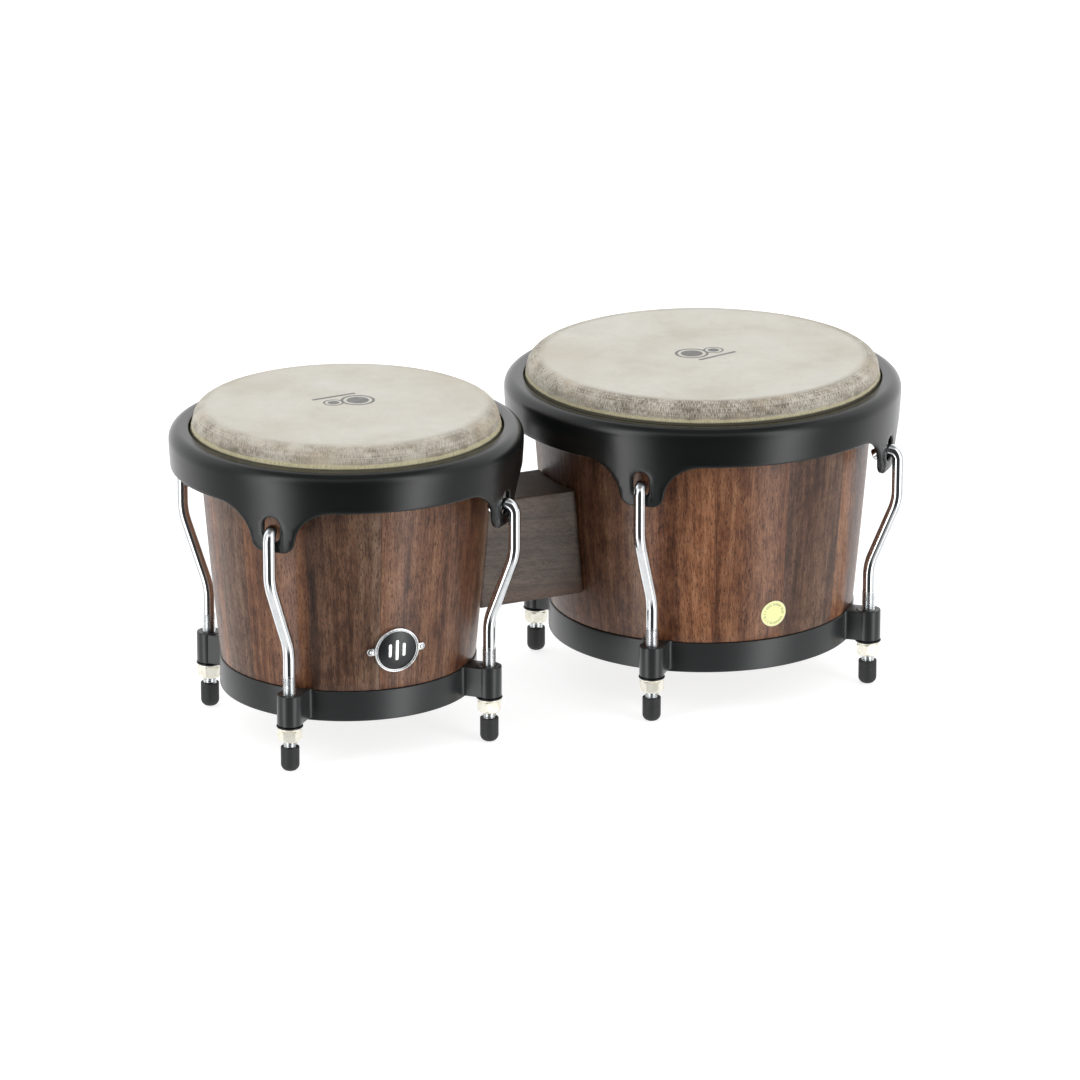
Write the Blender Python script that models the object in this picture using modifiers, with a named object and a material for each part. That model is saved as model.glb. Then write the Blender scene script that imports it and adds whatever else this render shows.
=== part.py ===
"""Bongo drums: a small and a large wooden drum joined by a centre block.

Units are metres and +Z is up. The origin is on the floor under the middle of the pair, the small drum is
on the -X side, and the front is -Y. Each drum's cranked lugs hook into the ears of its rim, run down
through the bosses of its bottom ring, carry a tuning nut there and end in a rubber foot.
"""
import math
from collections import namedtuple

import bmesh
import bpy
from mathutils import Matrix, Vector

Drum = namedtuple("Drum", "name x rim_radius shell_top shell_bottom lug_circle lug_turn ear_turn")

# Layout of the pair
CENTRE_DISTANCE = 0.2314
SMALL_RIM_RADIUS = 0.1024
LARGE_RIM_RADIUS = 0.1171
SMALL_X = (SMALL_RIM_RADIUS - LARGE_RIM_RADIUS - CENTRE_DISTANCE) / 2
SMALL = Drum("small", SMALL_X, SMALL_RIM_RADIUS, 0.0866, 0.0726, 0.0880, -2.2, -4.9)
LARGE = Drum("large", SMALL_X + CENTRE_DISTANCE, LARGE_RIM_RADIUS, 0.1023, 0.0887, 0.1029, 1.3, -0.5)
LUG_PLACES = (("front_left", -135.0), ("front_right", -45.0), ("back_right", 45.0), ("back_left", 135.0))

GAP = 0.0003            # clearance left between neighbouring pieces
ROUND_STEPS = 40        # facets of the drums' large round pieces
FINE_STEPS = 12         # facets of the small round pieces
WELD_DISTANCE = 0.000001
SHARP_ANGLE = 35.0      # edges sharper than this stay crisp

# Shell
SHELL_FOOT_Z = 0.0286
SHELL_NOMINAL_TOP_Z = 0.191
SHELL_WALL = 0.0076
SHELL_BELLY = 0.0006    # how far the staves bow out at half height
SHELL_SAMPLES = 3
BEARING_INSET = 0.0062  # from the shell's outer radius in to the crown of the bearing edge
BEARING_Z = 0.1867
BEARING_RADIUS = 0.0055
BEARING_ROUND_OFF = 0.004   # height below the bearing edge's centre where the outer face starts
SPACE_FOOT_Z = 0.050    # the part of a shell that other pieces are coped to
SPACE_TOP_Z = 0.150

# Head and flesh hoop
SKIN_THICKNESS = 0.0018
COLLAR_FOOT_Z = 0.173
COLLAR_FLARE = 0.0026   # collar's outer radius at its foot, beyond the shell's top radius
COLLAR_STRAIGHT = 0.006
HOOP_INSET = 0.0084
HOOP_Z = 0.1738
HOOP_WIRE_RADIUS = 0.0030

# Rim
RIM_THICKNESS = 0.0030
RIM_ROLL_Z = 0.1750
RIM_ROLL_WIDTH = 0.0063
RIM_ROLL_HEIGHT = 0.0070
RIM_LIP_INSET = 0.0118   # from the rim's radius in to its flat lip's edge
RIM_STRAIGHT_Z = 0.172
RIM_TAPER = 0.065
RIM_BAND_FOOT_Z = 0.15915
RIM_WALL_INSET = 0.006      # from the rim's radius in to where the ears are cut
RIM_SPARE_DEPTH = 0.002     # how far the turned wall runs on below the ears
RIM_WASTE_INSIDE = 0.020
RIM_WASTE_OUTSIDE = 0.008
RIM_WASTE_FOOT_Z = 0.125
EAR_FOOT_Z = 0.1336
EAR_TIP_RADIUS = 0.0075
EAR_TIP_HALF_FLAT = 0.0058
EAR_FILLET_RADIUS = 0.022
EAR_FILLET_LIFT = 0.00015   # keeps the fillet's end off the band's foot
EAR_HALF_SPREAD = 0.035
EAR_SIDE_ANGLE = 15.0
EAR_TOP_Z = 0.165
EAR_HOLE_RADIUS = 0.0050
EAR_HOLE_LOW_Z = 0.1398
EAR_HOLE_HIGH_Z = 0.1548
RADIAL_CUT_DEPTH = 0.030

# Bottom ring
RING_FOOT_Z = 0.0265
RING_TOP_Z = 0.0444
RING_PROUD = 0.0006     # ring's outer radius beyond the shell's at the ring's top
RING_WALL = 0.0022
RING_LIP_THICKNESS = 0.0018
RING_LIP_WIDTH = 0.0065
BOSS_RADIUS = 0.0073
BOSS_BORE_RADIUS = 0.0038
BOSS_FOOT_Z = 0.0276
BOSS_TOP_Z = 0.0460
WEB_WIDTH = 0.0140
WEB_FOOT_Z = 0.0279
WEB_TOP_Z = 0.0443
WEB_OVERLAP = 0.0009        # how far a web starts inside the ring's outer face
BORE_CUT_FOOT_Z = 0.020
BORE_CUT_TOP_Z = 0.055

# Lug
LUG_RADIUS = 0.0035
LUG_OFFSET = 0.0174     # hooked leg's distance from the drum's axis, beyond the lug circle
LUG_LEAD = 0.5          # angle from an ear's middle round to the hooked leg
LUG_END_Z = 0.0040
LUG_LOW_BEND_Z = 0.0694
LUG_BEND_RADIUS = 0.020
LUG_SLANT = 22.5
HOOK_RADIUS = 0.0055
HOOK_Z = 0.1411
HOOK_ANGLE = 118.0
HOOK_STUB = 0.0075
HOOK_SWING = 7.5        # turns the hook from the drum's axis towards the ear's hole

# Nut, washer and foot
NUT_FLATS = 0.0123
NUT_FOOT_Z = 0.0181
NUT_TOP_Z = 0.0262
NUT_CUT_SPARE = 0.005
WASHER_RADIUS = 0.0077
WASHER_FOOT_Z = 0.02645
WASHER_TOP_Z = 0.02735
LOOSE_BORE_RADIUS = 0.0039
FOOT_RADIUS = 0.0054
FOOT_HEIGHT = 0.0145
FOOT_FLOOR = 0.0037
FOOT_BORE_RADIUS = 0.0038
FOOT_ROUNDING = 0.0040

# Centre block and its hardware
BLOCK_WIDTH = 0.047
BLOCK_FOOT_Z = 0.0659
BLOCK_TOP_Z = 0.1297
BLOCK_SMALL_END = 0.055     # blank's ends, from each drum's axis, before coping
BLOCK_LARGE_END = 0.070
ROD_HEIGHTS = (("lower", 0.0808), ("upper", 0.1148))
ROD_RADIUS = 0.0030
ROD_HOLE_RADIUS = 0.0034
ROD_HOLE_SMALL_END = 0.050  # bore's ends, from each drum's axis
ROD_HOLE_LARGE_END = 0.060
ROD_END = 0.0100        # how far a rod stands out of the shell's inner wall
PLATE_WIDTH = 0.036
PLATE_FOOT_Z = 0.0710
PLATE_TOP_Z = 0.1246
PLATE_THICKNESS = 0.0016
PLATE_SPARE = 0.004
PLATE_WINDOW_NEAR = 0.040
PLATE_WINDOW_FAR = 0.110
ROD_NUT_FLATS = 0.0100
ROD_NUT_HEIGHT = 0.0050
ROD_NUT_STANDOFF = 0.0032

# Badge and label
BADGE_ANGLE = -93.7
BADGE_Z = 0.0690
BADGE_RADIUS = 0.0135
BADGE_FACE_RADIUS = 0.0117
BADGE_HEIGHT = 0.0018
BADGE_RECESS = 0.0005
BADGE_BEVEL = 0.0004
BADGE_BACK = -0.004         # behind the shell's face, before the back is shaped to it
BADGE_EAR_RADIUS = 0.0024
BADGE_EAR_OFFSET = 0.0152
BADGE_EAR_HEIGHT = 0.0013
SCREW_HEAD_RADIUS = 0.0014
SCREW_CROWN_RADIUS = 0.0009
SCREW_EDGE_HEIGHT = 0.0003
SCREW_CROWN_HEIGHT = 0.0009
SCREW_HEAD_HEIGHT = 0.0011
SCREW_SHANK_RADIUS = 0.0009
SCREW_HOLE_RADIUS = 0.0012
SCREW_LENGTH = 0.0060
SCREW_POINT = 0.0008
SCREW_CUT_DEPTH = 0.020
SCREW_CUT_HEIGHT = 0.010
LABEL_ANGLE = -90.3
LABEL_Z = 0.0603
LABEL_RADIUS = 0.0080
LABEL_THICKNESS = 0.0004
LABEL_SPARE = 0.004         # strip turned above and below the label before it is cut round
LABEL_CUT_REACH = 0.010


# ---------------------------------------------------------------- scene and materials

def clear_scene():
    for obj in list(bpy.data.objects):
        bpy.data.objects.remove(obj, do_unlink=True)


def make_collection(name):
    collection = bpy.data.collections.new(name)
    bpy.context.scene.collection.children.link(collection)
    return collection


def make_material(name, color, roughness, metallic=0.0):
    material = bpy.data.materials.new(name)
    material.use_nodes = True
    shader = material.node_tree.nodes["Principled BSDF"]
    shader.inputs["Base Color"].default_value = (*color, 1.0)
    shader.inputs["Roughness"].default_value = roughness
    shader.inputs["Metallic"].default_value = metallic
    return material


def make_materials():
    return {
        "walnut": make_material("walnut", (0.115, 0.052, 0.030), 0.35),
        "block_wood": make_material("block_wood", (0.130, 0.085, 0.062), 0.42),
        "rawhide": make_material("rawhide", (0.62, 0.58, 0.50), 0.55),
        "black_steel": make_material("black_steel", (0.020, 0.022, 0.022), 0.38),
        "chrome": make_material("chrome", (0.80, 0.81, 0.82), 0.08, 1.0),
        "zinc": make_material("zinc", (0.76, 0.71, 0.56), 0.32, 0.8),
        "dark_washer": make_material("dark_washer", (0.030, 0.030, 0.030), 0.45, 0.5),
        "rubber": make_material("rubber", (0.022, 0.023, 0.023), 0.62),
        "steel": make_material("steel", (0.52, 0.53, 0.54), 0.32, 1.0),
        "label_paper": make_material("label_paper", (0.68, 0.62, 0.36), 0.50),
    }


# ---------------------------------------------------------------- modelling helpers

def add_object(name, data, collection, material=None, matrix=None):
    """Link a new object; a piece with no material is a cutter, which is drawn as wire only."""
    obj = bpy.data.objects.new(name, data)
    collection.objects.link(obj)
    obj.matrix_world = matrix or Matrix()
    if material is None:
        obj.hide_render = True
        obj.display_type = "WIRE"
    elif not data.materials:
        data.materials.append(material)
    return obj


def arc(centre, radius, start, end, steps):
    """Points of an arc, its angles in degrees; a radius may be one number or a pair of semi-axes."""
    across, along = radius if isinstance(radius, tuple) else (radius, radius)
    angles = [math.radians(start + (end - start) * i / steps) for i in range(steps + 1)]
    return [(centre[0] + across * math.cos(a), centre[1] + along * math.sin(a)) for a in angles]


def turned(name, profile, collection, material=None, matrix=None, steps=ROUND_STEPS, closed=True):
    """Turn a (radius, height) outline about local Z; the outline runs down its outer side."""
    mesh = bpy.data.meshes.new(name)
    bm = bmesh.new()
    verts = [bm.verts.new((radius, 0.0, height)) for radius, height in profile]
    ends = verts[1:] + verts[:1] if closed else verts[1:]
    for first, second in zip(verts, ends):
        bm.edges.new((first, second))
    bm.to_mesh(mesh)
    bm.free()
    obj = add_object(name, mesh, collection, material, matrix)
    screw = obj.modifiers.new("Turn", "SCREW")
    screw.steps = steps
    screw.render_steps = steps
    screw.use_merge_vertices = True
    screw.merge_threshold = 10 * WELD_DISTANCE
    screw.use_smooth_shade = False
    return obj


def cylinder(name, radius, low, high, collection, matrix=None, steps=FINE_STEPS):
    """A cutter or building piece along local Z, from one height to another."""
    mesh = bpy.data.meshes.new(name)
    bm = bmesh.new()
    middle = Matrix.Translation((0.0, 0.0, (low + high) / 2))
    bmesh.ops.create_cone(bm, cap_ends=True, segments=steps, radius1=radius, radius2=radius,
                          depth=high - low, matrix=middle)
    bm.to_mesh(mesh)
    bm.free()
    return add_object(name, mesh, collection, None, matrix)


def box(name, low, high, collection, matrix=None):
    """A cutter or building piece between two corners."""
    mesh = bpy.data.meshes.new(name)
    bm = bmesh.new()
    size = [b - a for a, b in zip(low, high)]
    middle = [(a + b) / 2 for a, b in zip(low, high)]
    bmesh.ops.create_cube(bm, size=1.0, matrix=Matrix.Translation(middle) @ Matrix.Diagonal((*size, 1.0)))
    bm.to_mesh(mesh)
    bm.free()
    return add_object(name, mesh, collection, None, matrix)


def combine(obj, operation, *others):
    for other in others:
        modifier = obj.modifiers.new(other.name, "BOOLEAN")
        modifier.operation = operation
        modifier.solver = "EXACT"
        modifier.object = other


def finished_mesh(obj, name):
    """The object's shape with its modifiers, as a mesh of its own; the object is removed."""
    bpy.context.view_layer.update()
    evaluated = obj.evaluated_get(bpy.context.evaluated_depsgraph_get())
    mesh = bpy.data.meshes.new_from_object(evaluated)
    mesh.name = name
    bm = bmesh.new()
    bm.from_mesh(mesh)
    bmesh.ops.remove_doubles(bm, verts=bm.verts, dist=WELD_DISTANCE)
    bm.to_mesh(mesh)
    bm.free()
    bpy.data.objects.remove(obj, do_unlink=True)
    return mesh


def prism(name, outline, thickness, collection, matrix):
    """A flat outline of local (x, y) points, thickened both ways along local Z."""
    curve = bpy.data.curves.new(name, "CURVE")
    curve.dimensions = "2D"
    curve.fill_mode = "BOTH"
    curve.extrude = thickness / 2
    spline = curve.splines.new("POLY")
    spline.points.add(len(outline) - 1)
    for point, (x, y) in zip(spline.points, outline):
        point.co = (x, y, 0.0, 1.0)
    spline.use_cyclic_u = True
    drawn = add_object(name + "_outline", curve, collection)
    return add_object(name, finished_mesh(drawn, name), collection, None, matrix)


def smooth_round_sides(collection):
    """Shade the round faces smooth and keep the sharp edges crisp."""
    for obj in collection.objects:
        if obj.type == "MESH":
            obj.data.shade_smooth()
            obj.data.set_sharp_from_angle(angle=math.radians(SHARP_ANGLE))


# ---------------------------------------------------------------- places

def drum_matrix(drum):
    return Matrix.Translation((drum.x, 0.0, 0.0))


def around(drum, angle, radius=0.0):
    """A frame at an angle round the drum's axis, its X pointing outward, at a radius."""
    turn = Matrix.Rotation(math.radians(angle), 4, "Z")
    return drum_matrix(drum) @ turn @ Matrix.Translation((radius, 0.0, 0.0))


def facing_out(drum, angle, radius, height=0.0, tilt=0.0):
    """A frame whose Z points out of the drum, its X along the tangent and its Y up."""
    axes = Matrix(((0, 0, 1, 0), (1, 0, 0, 0), (0, 1, 0, 0), (0, 0, 0, 1)))
    lean = Matrix.Rotation(tilt, 4, "X")
    return around(drum, angle, radius) @ Matrix.Translation((0.0, 0.0, height)) @ axes @ lean


def along_x(x, y, z):
    """A frame at a point whose Z runs along the world's +X."""
    return Matrix.Translation((x, y, z)) @ Matrix.Rotation(math.pi / 2, 4, "Y")


def places_round(turn):
    """The four places' names and angles, turned from the diagonals."""
    for place, angle in LUG_PLACES:
        yield place, angle + turn


def shell_radius(drum, z):
    """The shell's outer radius at a height, with the slight belly of its staves."""
    part = (z - SHELL_FOOT_Z) / (SHELL_NOMINAL_TOP_Z - SHELL_FOOT_Z)
    straight = drum.shell_bottom + (drum.shell_top - drum.shell_bottom) * part
    return straight + SHELL_BELLY * math.sin(math.pi * part)


def shell_slope(drum):
    """The angle by which the shell's outer face leans out of the vertical."""
    return math.atan2(drum.shell_top - drum.shell_bottom, SHELL_NOMINAL_TOP_Z - SHELL_FOOT_Z)


def ring_outer_radius(drum):
    return shell_radius(drum, RING_TOP_Z) + RING_PROUD


def heights(low, high, samples):
    return [low + (high - low) * i / samples for i in range(samples + 1)]


# ---------------------------------------------------------------- shell

def shell_profile(drum):
    """Bearing edge, outer face, step behind the bottom ring, and inner face."""
    crown = (drum.shell_top - BEARING_INSET, BEARING_Z)
    rebate = ring_outer_radius(drum) - RING_WALL - GAP
    step_z = RING_TOP_Z + GAP
    outer = [(shell_radius(drum, z), z) for z in heights(step_z, BEARING_Z - BEARING_ROUND_OFF, SHELL_SAMPLES)]
    inner = [(shell_radius(drum, z) - SHELL_WALL, z) for z in heights(SHELL_FOOT_Z, BEARING_Z, SHELL_SAMPLES)]
    return (arc(crown, BEARING_RADIUS, 90.0, 0.0, 3) + outer[::-1]
            + [(rebate, step_z), (rebate, SHELL_FOOT_Z)] + inner)


def shell_cutter(drum, collection):
    """The solid that a shell fills, grown by the gap, for coping what sits against it."""
    rows = heights(SPACE_FOOT_Z, SPACE_TOP_Z, SHELL_SAMPLES + 1)
    side = [(shell_radius(drum, z) + GAP, z) for z in reversed(rows)]
    profile = [(0.0, SPACE_TOP_Z)] + side + [(0.0, SPACE_FOOT_Z)]
    return turned(drum.name + "_shell_space", profile, collection, None, drum_matrix(drum), closed=False)


def rod_hole_cutters(collection):
    """One long bore for each centre rod, through the block and both inner walls."""
    for level, z in ROD_HEIGHTS:
        yield cylinder("rod_hole_" + level, ROD_HOLE_RADIUS, SMALL.x + ROD_HOLE_SMALL_END,
                       LARGE.x - ROD_HOLE_LARGE_END, collection, along_x(0.0, 0.0, z))


def build_shell(drum, parts, material, holes):
    shell = turned(drum.name + "_shell", shell_profile(drum), parts, material, drum_matrix(drum))
    combine(shell, "DIFFERENCE", *holes)


# ---------------------------------------------------------------- head and flesh hoop

def head_profile(drum):
    """A flat playing face that turns down over the bearing edge into a collar."""
    centre = (drum.shell_top - BEARING_INSET, BEARING_Z)
    under = BEARING_RADIUS + GAP
    over = under + SKIN_THICKNESS
    foot = drum.shell_top + COLLAR_FLARE
    knee_z = COLLAR_FOOT_Z + COLLAR_STRAIGHT
    return ([(0.0, BEARING_Z + over)] + arc(centre, over, 90.0, 0.0, 3)
            + [(foot, knee_z), (foot, COLLAR_FOOT_Z), (foot - SKIN_THICKNESS, COLLAR_FOOT_Z),
               (foot - SKIN_THICKNESS, knee_z)]
            + arc(centre, under, 0.0, 90.0, 3) + [(0.0, BEARING_Z + under)])


def build_head(drum, parts, material):
    turned(drum.name + "_head", head_profile(drum), parts, material, drum_matrix(drum), closed=False)


def build_flesh_hoop(drum, parts, material):
    section = arc((drum.rim_radius - HOOP_INSET, HOOP_Z), HOOP_WIRE_RADIUS, 90.0, -270.0, 6)[:-1]
    turned(drum.name + "_flesh_hoop", section, parts, material, drum_matrix(drum))


# ---------------------------------------------------------------- rim

def rim_profile(drum):
    """The rim's section: a flat lip, a rolled shoulder and a wall deep enough for the ears."""
    centre = (drum.rim_radius - RIM_ROLL_WIDTH, RIM_ROLL_Z)
    foot_z = EAR_FOOT_Z - RIM_SPARE_DEPTH
    foot_inset = RIM_TAPER * (RIM_STRAIGHT_Z - foot_z)
    inside = (RIM_ROLL_WIDTH - RIM_THICKNESS, RIM_ROLL_HEIGHT - RIM_THICKNESS)
    lip_radius = drum.rim_radius - RIM_LIP_INSET
    outer = [(lip_radius, RIM_ROLL_Z + RIM_ROLL_HEIGHT)]
    outer += arc(centre, (RIM_ROLL_WIDTH, RIM_ROLL_HEIGHT), 90.0, 0.0, 5)
    inner = arc(centre, inside, 0.0, 90.0, 3)
    inner.append((lip_radius, RIM_ROLL_Z + RIM_ROLL_HEIGHT - RIM_THICKNESS))
    wall = [(drum.rim_radius, RIM_STRAIGHT_Z), (drum.rim_radius - foot_inset, foot_z),
            (drum.rim_radius - foot_inset - RIM_THICKNESS, foot_z),
            (drum.rim_radius - RIM_THICKNESS, RIM_STRAIGHT_Z)]
    return outer + wall + inner


def ear_outline():
    """An ear seen from outside: a rounded tip, sloping sides, and fillets that sweep into the band."""
    fillet_z = RIM_BAND_FOOT_Z + EAR_FILLET_LIFT - EAR_FILLET_RADIUS
    fillet = arc((EAR_HALF_SPREAD, fillet_z), EAR_FILLET_RADIUS, 90.0, 180.0 - EAR_SIDE_ANGLE, 5)
    tip = arc((EAR_TIP_HALF_FLAT, EAR_FOOT_Z + EAR_TIP_RADIUS), EAR_TIP_RADIUS, -EAR_SIDE_ANGLE, -90.0, 3)
    right = [(EAR_HALF_SPREAD, EAR_TOP_Z)] + fillet + tip
    return right + [(-x, z) for x, z in reversed(right)]


def ear_hole_outline():
    low = EAR_HOLE_LOW_Z + EAR_HOLE_RADIUS
    high = EAR_HOLE_HIGH_Z - EAR_HOLE_RADIUS
    return arc((0.0, high), EAR_HOLE_RADIUS, 0.0, 180.0, 6) + arc((0.0, low), EAR_HOLE_RADIUS, 180.0, 360.0, 6)


def build_rim(drum, parts, cutters, material):
    rim = turned(drum.name + "_rim", rim_profile(drum), parts, material, drum_matrix(drum))
    inner = drum.rim_radius - RIM_WASTE_INSIDE
    outer = drum.rim_radius + RIM_WASTE_OUTSIDE
    waste_profile = [(inner, RIM_BAND_FOOT_Z), (outer, RIM_BAND_FOOT_Z),
                     (outer, RIM_WASTE_FOOT_Z), (inner, RIM_WASTE_FOOT_Z)]
    waste = turned(drum.name + "_rim_waste", waste_profile, cutters, None, drum_matrix(drum))
    combine(rim, "DIFFERENCE", waste)
    wall_radius = drum.rim_radius - RIM_WALL_INSET
    for place, angle in places_round(drum.ear_turn):
        frame = facing_out(drum, angle, wall_radius)
        ear = prism(f"{drum.name}_ear_{place}", ear_outline(), RADIAL_CUT_DEPTH, cutters, frame)
        combine(waste, "DIFFERENCE", ear)
        hole = prism(f"{drum.name}_ear_hole_{place}", ear_hole_outline(), RADIAL_CUT_DEPTH, cutters, frame)
        combine(rim, "DIFFERENCE", hole)


# ---------------------------------------------------------------- bottom ring

def bottom_ring_profile(drum):
    """A band round the shell's foot with a lip turned in under the shell."""
    outer = ring_outer_radius(drum)
    lip_top = RING_FOOT_Z + RING_LIP_THICKNESS
    return [(outer, RING_TOP_Z), (outer, RING_FOOT_Z),
            (outer - RING_WALL - RING_LIP_WIDTH, RING_FOOT_Z), (outer - RING_WALL - RING_LIP_WIDTH, lip_top),
            (outer - RING_WALL, lip_top), (outer - RING_WALL, RING_TOP_Z)]


def build_bottom_ring(drum, parts, cutters, material):
    ring = turned(drum.name + "_bottom_ring", bottom_ring_profile(drum), parts, material, drum_matrix(drum))
    web_start = ring_outer_radius(drum) - WEB_OVERLAP - drum.lug_circle
    for place, angle in places_round(drum.lug_turn):
        frame = around(drum, angle, drum.lug_circle)
        label = f"{drum.name}_{place}"
        web = box(label + "_web", (web_start, -WEB_WIDTH / 2, WEB_FOOT_Z), (0.0, WEB_WIDTH / 2, WEB_TOP_Z),
                  cutters, frame)
        boss = cylinder(label + "_boss", BOSS_RADIUS, BOSS_FOOT_Z, BOSS_TOP_Z, cutters, frame)
        bore = cylinder(label + "_boss_bore", BOSS_BORE_RADIUS, BORE_CUT_FOOT_Z, BORE_CUT_TOP_Z, cutters, frame)
        combine(ring, "UNION", web, boss)
        combine(ring, "DIFFERENCE", bore)


# ---------------------------------------------------------------- lugs, nuts, washers and feet

def lug_crank(drum):
    """The hooked leg's place seen from the threaded leg, and the hook's direction, all in plan."""
    turn = math.radians(drum.ear_turn + LUG_LEAD - drum.lug_turn)
    leg = Vector((drum.lug_circle + LUG_OFFSET, 0.0)) @ Matrix.Rotation(-turn, 2)
    leg -= Vector((drum.lug_circle, 0.0))
    aim = turn + math.pi + math.radians(HOOK_SWING)
    return leg, Vector((math.cos(aim), math.sin(aim)))


def lug_path(drum):
    """The rod's centre line: threaded leg, crank out to the hooked leg, and the hook."""
    leg, aim = lug_crank(drum)
    reach = leg.length
    low = arc((LUG_BEND_RADIUS, LUG_LOW_BEND_Z), LUG_BEND_RADIUS, 180.0, 180.0 - LUG_SLANT, 2)
    slant_out = reach - 2 * (low[-1][0] - low[0][0])
    slant_up = slant_out / math.tan(math.radians(LUG_SLANT))
    high_z = low[-1][1] + slant_up + LUG_BEND_RADIUS * math.sin(math.radians(LUG_SLANT))
    high = arc((reach - LUG_BEND_RADIUS, high_z), LUG_BEND_RADIUS, -LUG_SLANT, 0.0, 2)
    crank = [(*(leg * out / reach), up) for out, up in [(0.0, LUG_END_Z)] + low + high]
    hook = arc((HOOK_RADIUS, HOOK_Z), HOOK_RADIUS, 180.0, 180.0 - HOOK_ANGLE, 5)
    droop = math.radians(HOOK_ANGLE - 90.0)
    hook.append((hook[-1][0] + HOOK_STUB * math.cos(droop), hook[-1][1] - HOOK_STUB * math.sin(droop)))
    return crank + [(*(leg + aim * out), up) for out, up in hook]


def lug_curve(drum, material):
    curve = bpy.data.curves.new(drum.name + "_lug", "CURVE")
    curve.dimensions = "3D"
    curve.bevel_depth = LUG_RADIUS
    curve.bevel_resolution = 2
    curve.use_fill_caps = True
    path = lug_path(drum)
    spline = curve.splines.new("POLY")
    spline.points.add(len(path) - 1)
    for point, place in zip(spline.points, path):
        point.co = (*place, 1.0)
    curve.materials.append(material)
    return curve


def hex_nut_mesh(name, flats, low, high, bore_radius, scratch):
    blank = cylinder(name + "_blank", flats / math.sqrt(3), low, high, scratch, steps=6)
    bore = cylinder(name + "_bore", bore_radius, low - NUT_CUT_SPARE, high + NUT_CUT_SPARE, scratch)
    combine(blank, "DIFFERENCE", bore)
    mesh = finished_mesh(blank, name)
    bpy.data.objects.remove(bore, do_unlink=True)
    return mesh


def washer_mesh(scratch):
    profile = [(WASHER_RADIUS, WASHER_TOP_Z), (WASHER_RADIUS, WASHER_FOOT_Z),
               (LOOSE_BORE_RADIUS, WASHER_FOOT_Z), (LOOSE_BORE_RADIUS, WASHER_TOP_Z)]
    return finished_mesh(turned("washer", profile, scratch, steps=FINE_STEPS), "washer")


def foot_mesh(scratch):
    """A cap with a blind bore, a rounded underside and a small flat to stand on."""
    rounding_centre = (FOOT_RADIUS - FOOT_ROUNDING, FOOT_ROUNDING)
    profile = ([(0.0, FOOT_FLOOR), (FOOT_BORE_RADIUS, FOOT_FLOOR), (FOOT_BORE_RADIUS, FOOT_HEIGHT),
                (FOOT_RADIUS, FOOT_HEIGHT)]
               + arc(rounding_centre, FOOT_ROUNDING, 0.0, -90.0, 2) + [(0.0, 0.0)])
    return finished_mesh(turned("foot", profile, scratch, steps=FINE_STEPS, closed=False), "foot")


def build_lugs(drum, parts, materials, shapes):
    """At each boss, one lug with its washer, nut and foot, all turned to the lug's direction."""
    finishes = {"lug": "chrome", "washer": "dark_washer", "nut": "zinc", "foot": "rubber"}
    data = {**shapes, "lug": lug_curve(drum, materials["chrome"])}
    for place, angle in places_round(drum.lug_turn):
        frame = around(drum, angle, drum.lug_circle)
        for piece, finish in finishes.items():
            add_object(f"{drum.name}_{piece}_{place}", data[piece], parts, materials[finish], frame)


# ---------------------------------------------------------------- centre block and hardware

def build_centre_block(parts, material, spaces, holes, cutters):
    blank = box("centre_block_blank", (SMALL.x + BLOCK_SMALL_END, -BLOCK_WIDTH / 2, BLOCK_FOOT_Z),
                (LARGE.x - BLOCK_LARGE_END, BLOCK_WIDTH / 2, BLOCK_TOP_Z), cutters)
    block = add_object("centre_block", blank.data, parts, material)
    bpy.data.objects.remove(blank, do_unlink=True)
    combine(block, "DIFFERENCE", *spaces, *holes)


def build_backing_plate(drum, parts, cutters, material, holes, side):
    """A curved plate against the shell's inner wall; side is +1 where the block lies towards +X."""
    rows = heights(PLATE_FOOT_Z - PLATE_SPARE, PLATE_TOP_Z + PLATE_SPARE, 3)
    wall = [(shell_radius(drum, z) - SHELL_WALL - GAP, z) for z in rows]
    profile = list(reversed(wall)) + [(radius - PLATE_THICKNESS, z) for radius, z in wall]
    plate = turned(drum.name + "_backing_plate", profile, parts, material, drum_matrix(drum))
    ends = sorted((drum.x + side * PLATE_WINDOW_NEAR, drum.x + side * PLATE_WINDOW_FAR))
    window = box(drum.name + "_plate_window", (ends[0], -PLATE_WIDTH / 2, PLATE_FOOT_Z),
                 (ends[1], PLATE_WIDTH / 2, PLATE_TOP_Z), cutters)
    combine(plate, "INTERSECT", window)
    combine(plate, "DIFFERENCE", *holes)


def inner_wall_x(drum, z, side):
    return drum.x + side * (shell_radius(drum, z) - SHELL_WALL)


def build_rods(parts, cutters, material):
    """Two rods clamp the shells to the block, with a nut on each rod end inside its shell."""
    nut = hex_nut_mesh("rod_nut", ROD_NUT_FLATS, 0.0, ROD_NUT_HEIGHT, ROD_HOLE_RADIUS, cutters)
    for level, z in ROD_HEIGHTS:
        small_wall = inner_wall_x(SMALL, z, 1)
        large_wall = inner_wall_x(LARGE, z, -1)
        rod = cylinder("centre_rod_" + level, ROD_RADIUS, small_wall - ROD_END, large_wall + ROD_END, parts,
                       along_x(0.0, 0.0, z))
        rod.hide_render = False
        rod.display_type = "TEXTURED"
        rod.data.materials.append(material)
        small_nut_x = small_wall - ROD_NUT_STANDOFF - ROD_NUT_HEIGHT
        large_nut_x = large_wall + ROD_NUT_STANDOFF
        add_object("small_rod_nut_" + level, nut, parts, material, along_x(small_nut_x, 0.0, z))
        add_object("large_rod_nut_" + level, nut, parts, material, along_x(large_nut_x, 0.0, z))


# ---------------------------------------------------------------- badge and label

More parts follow.
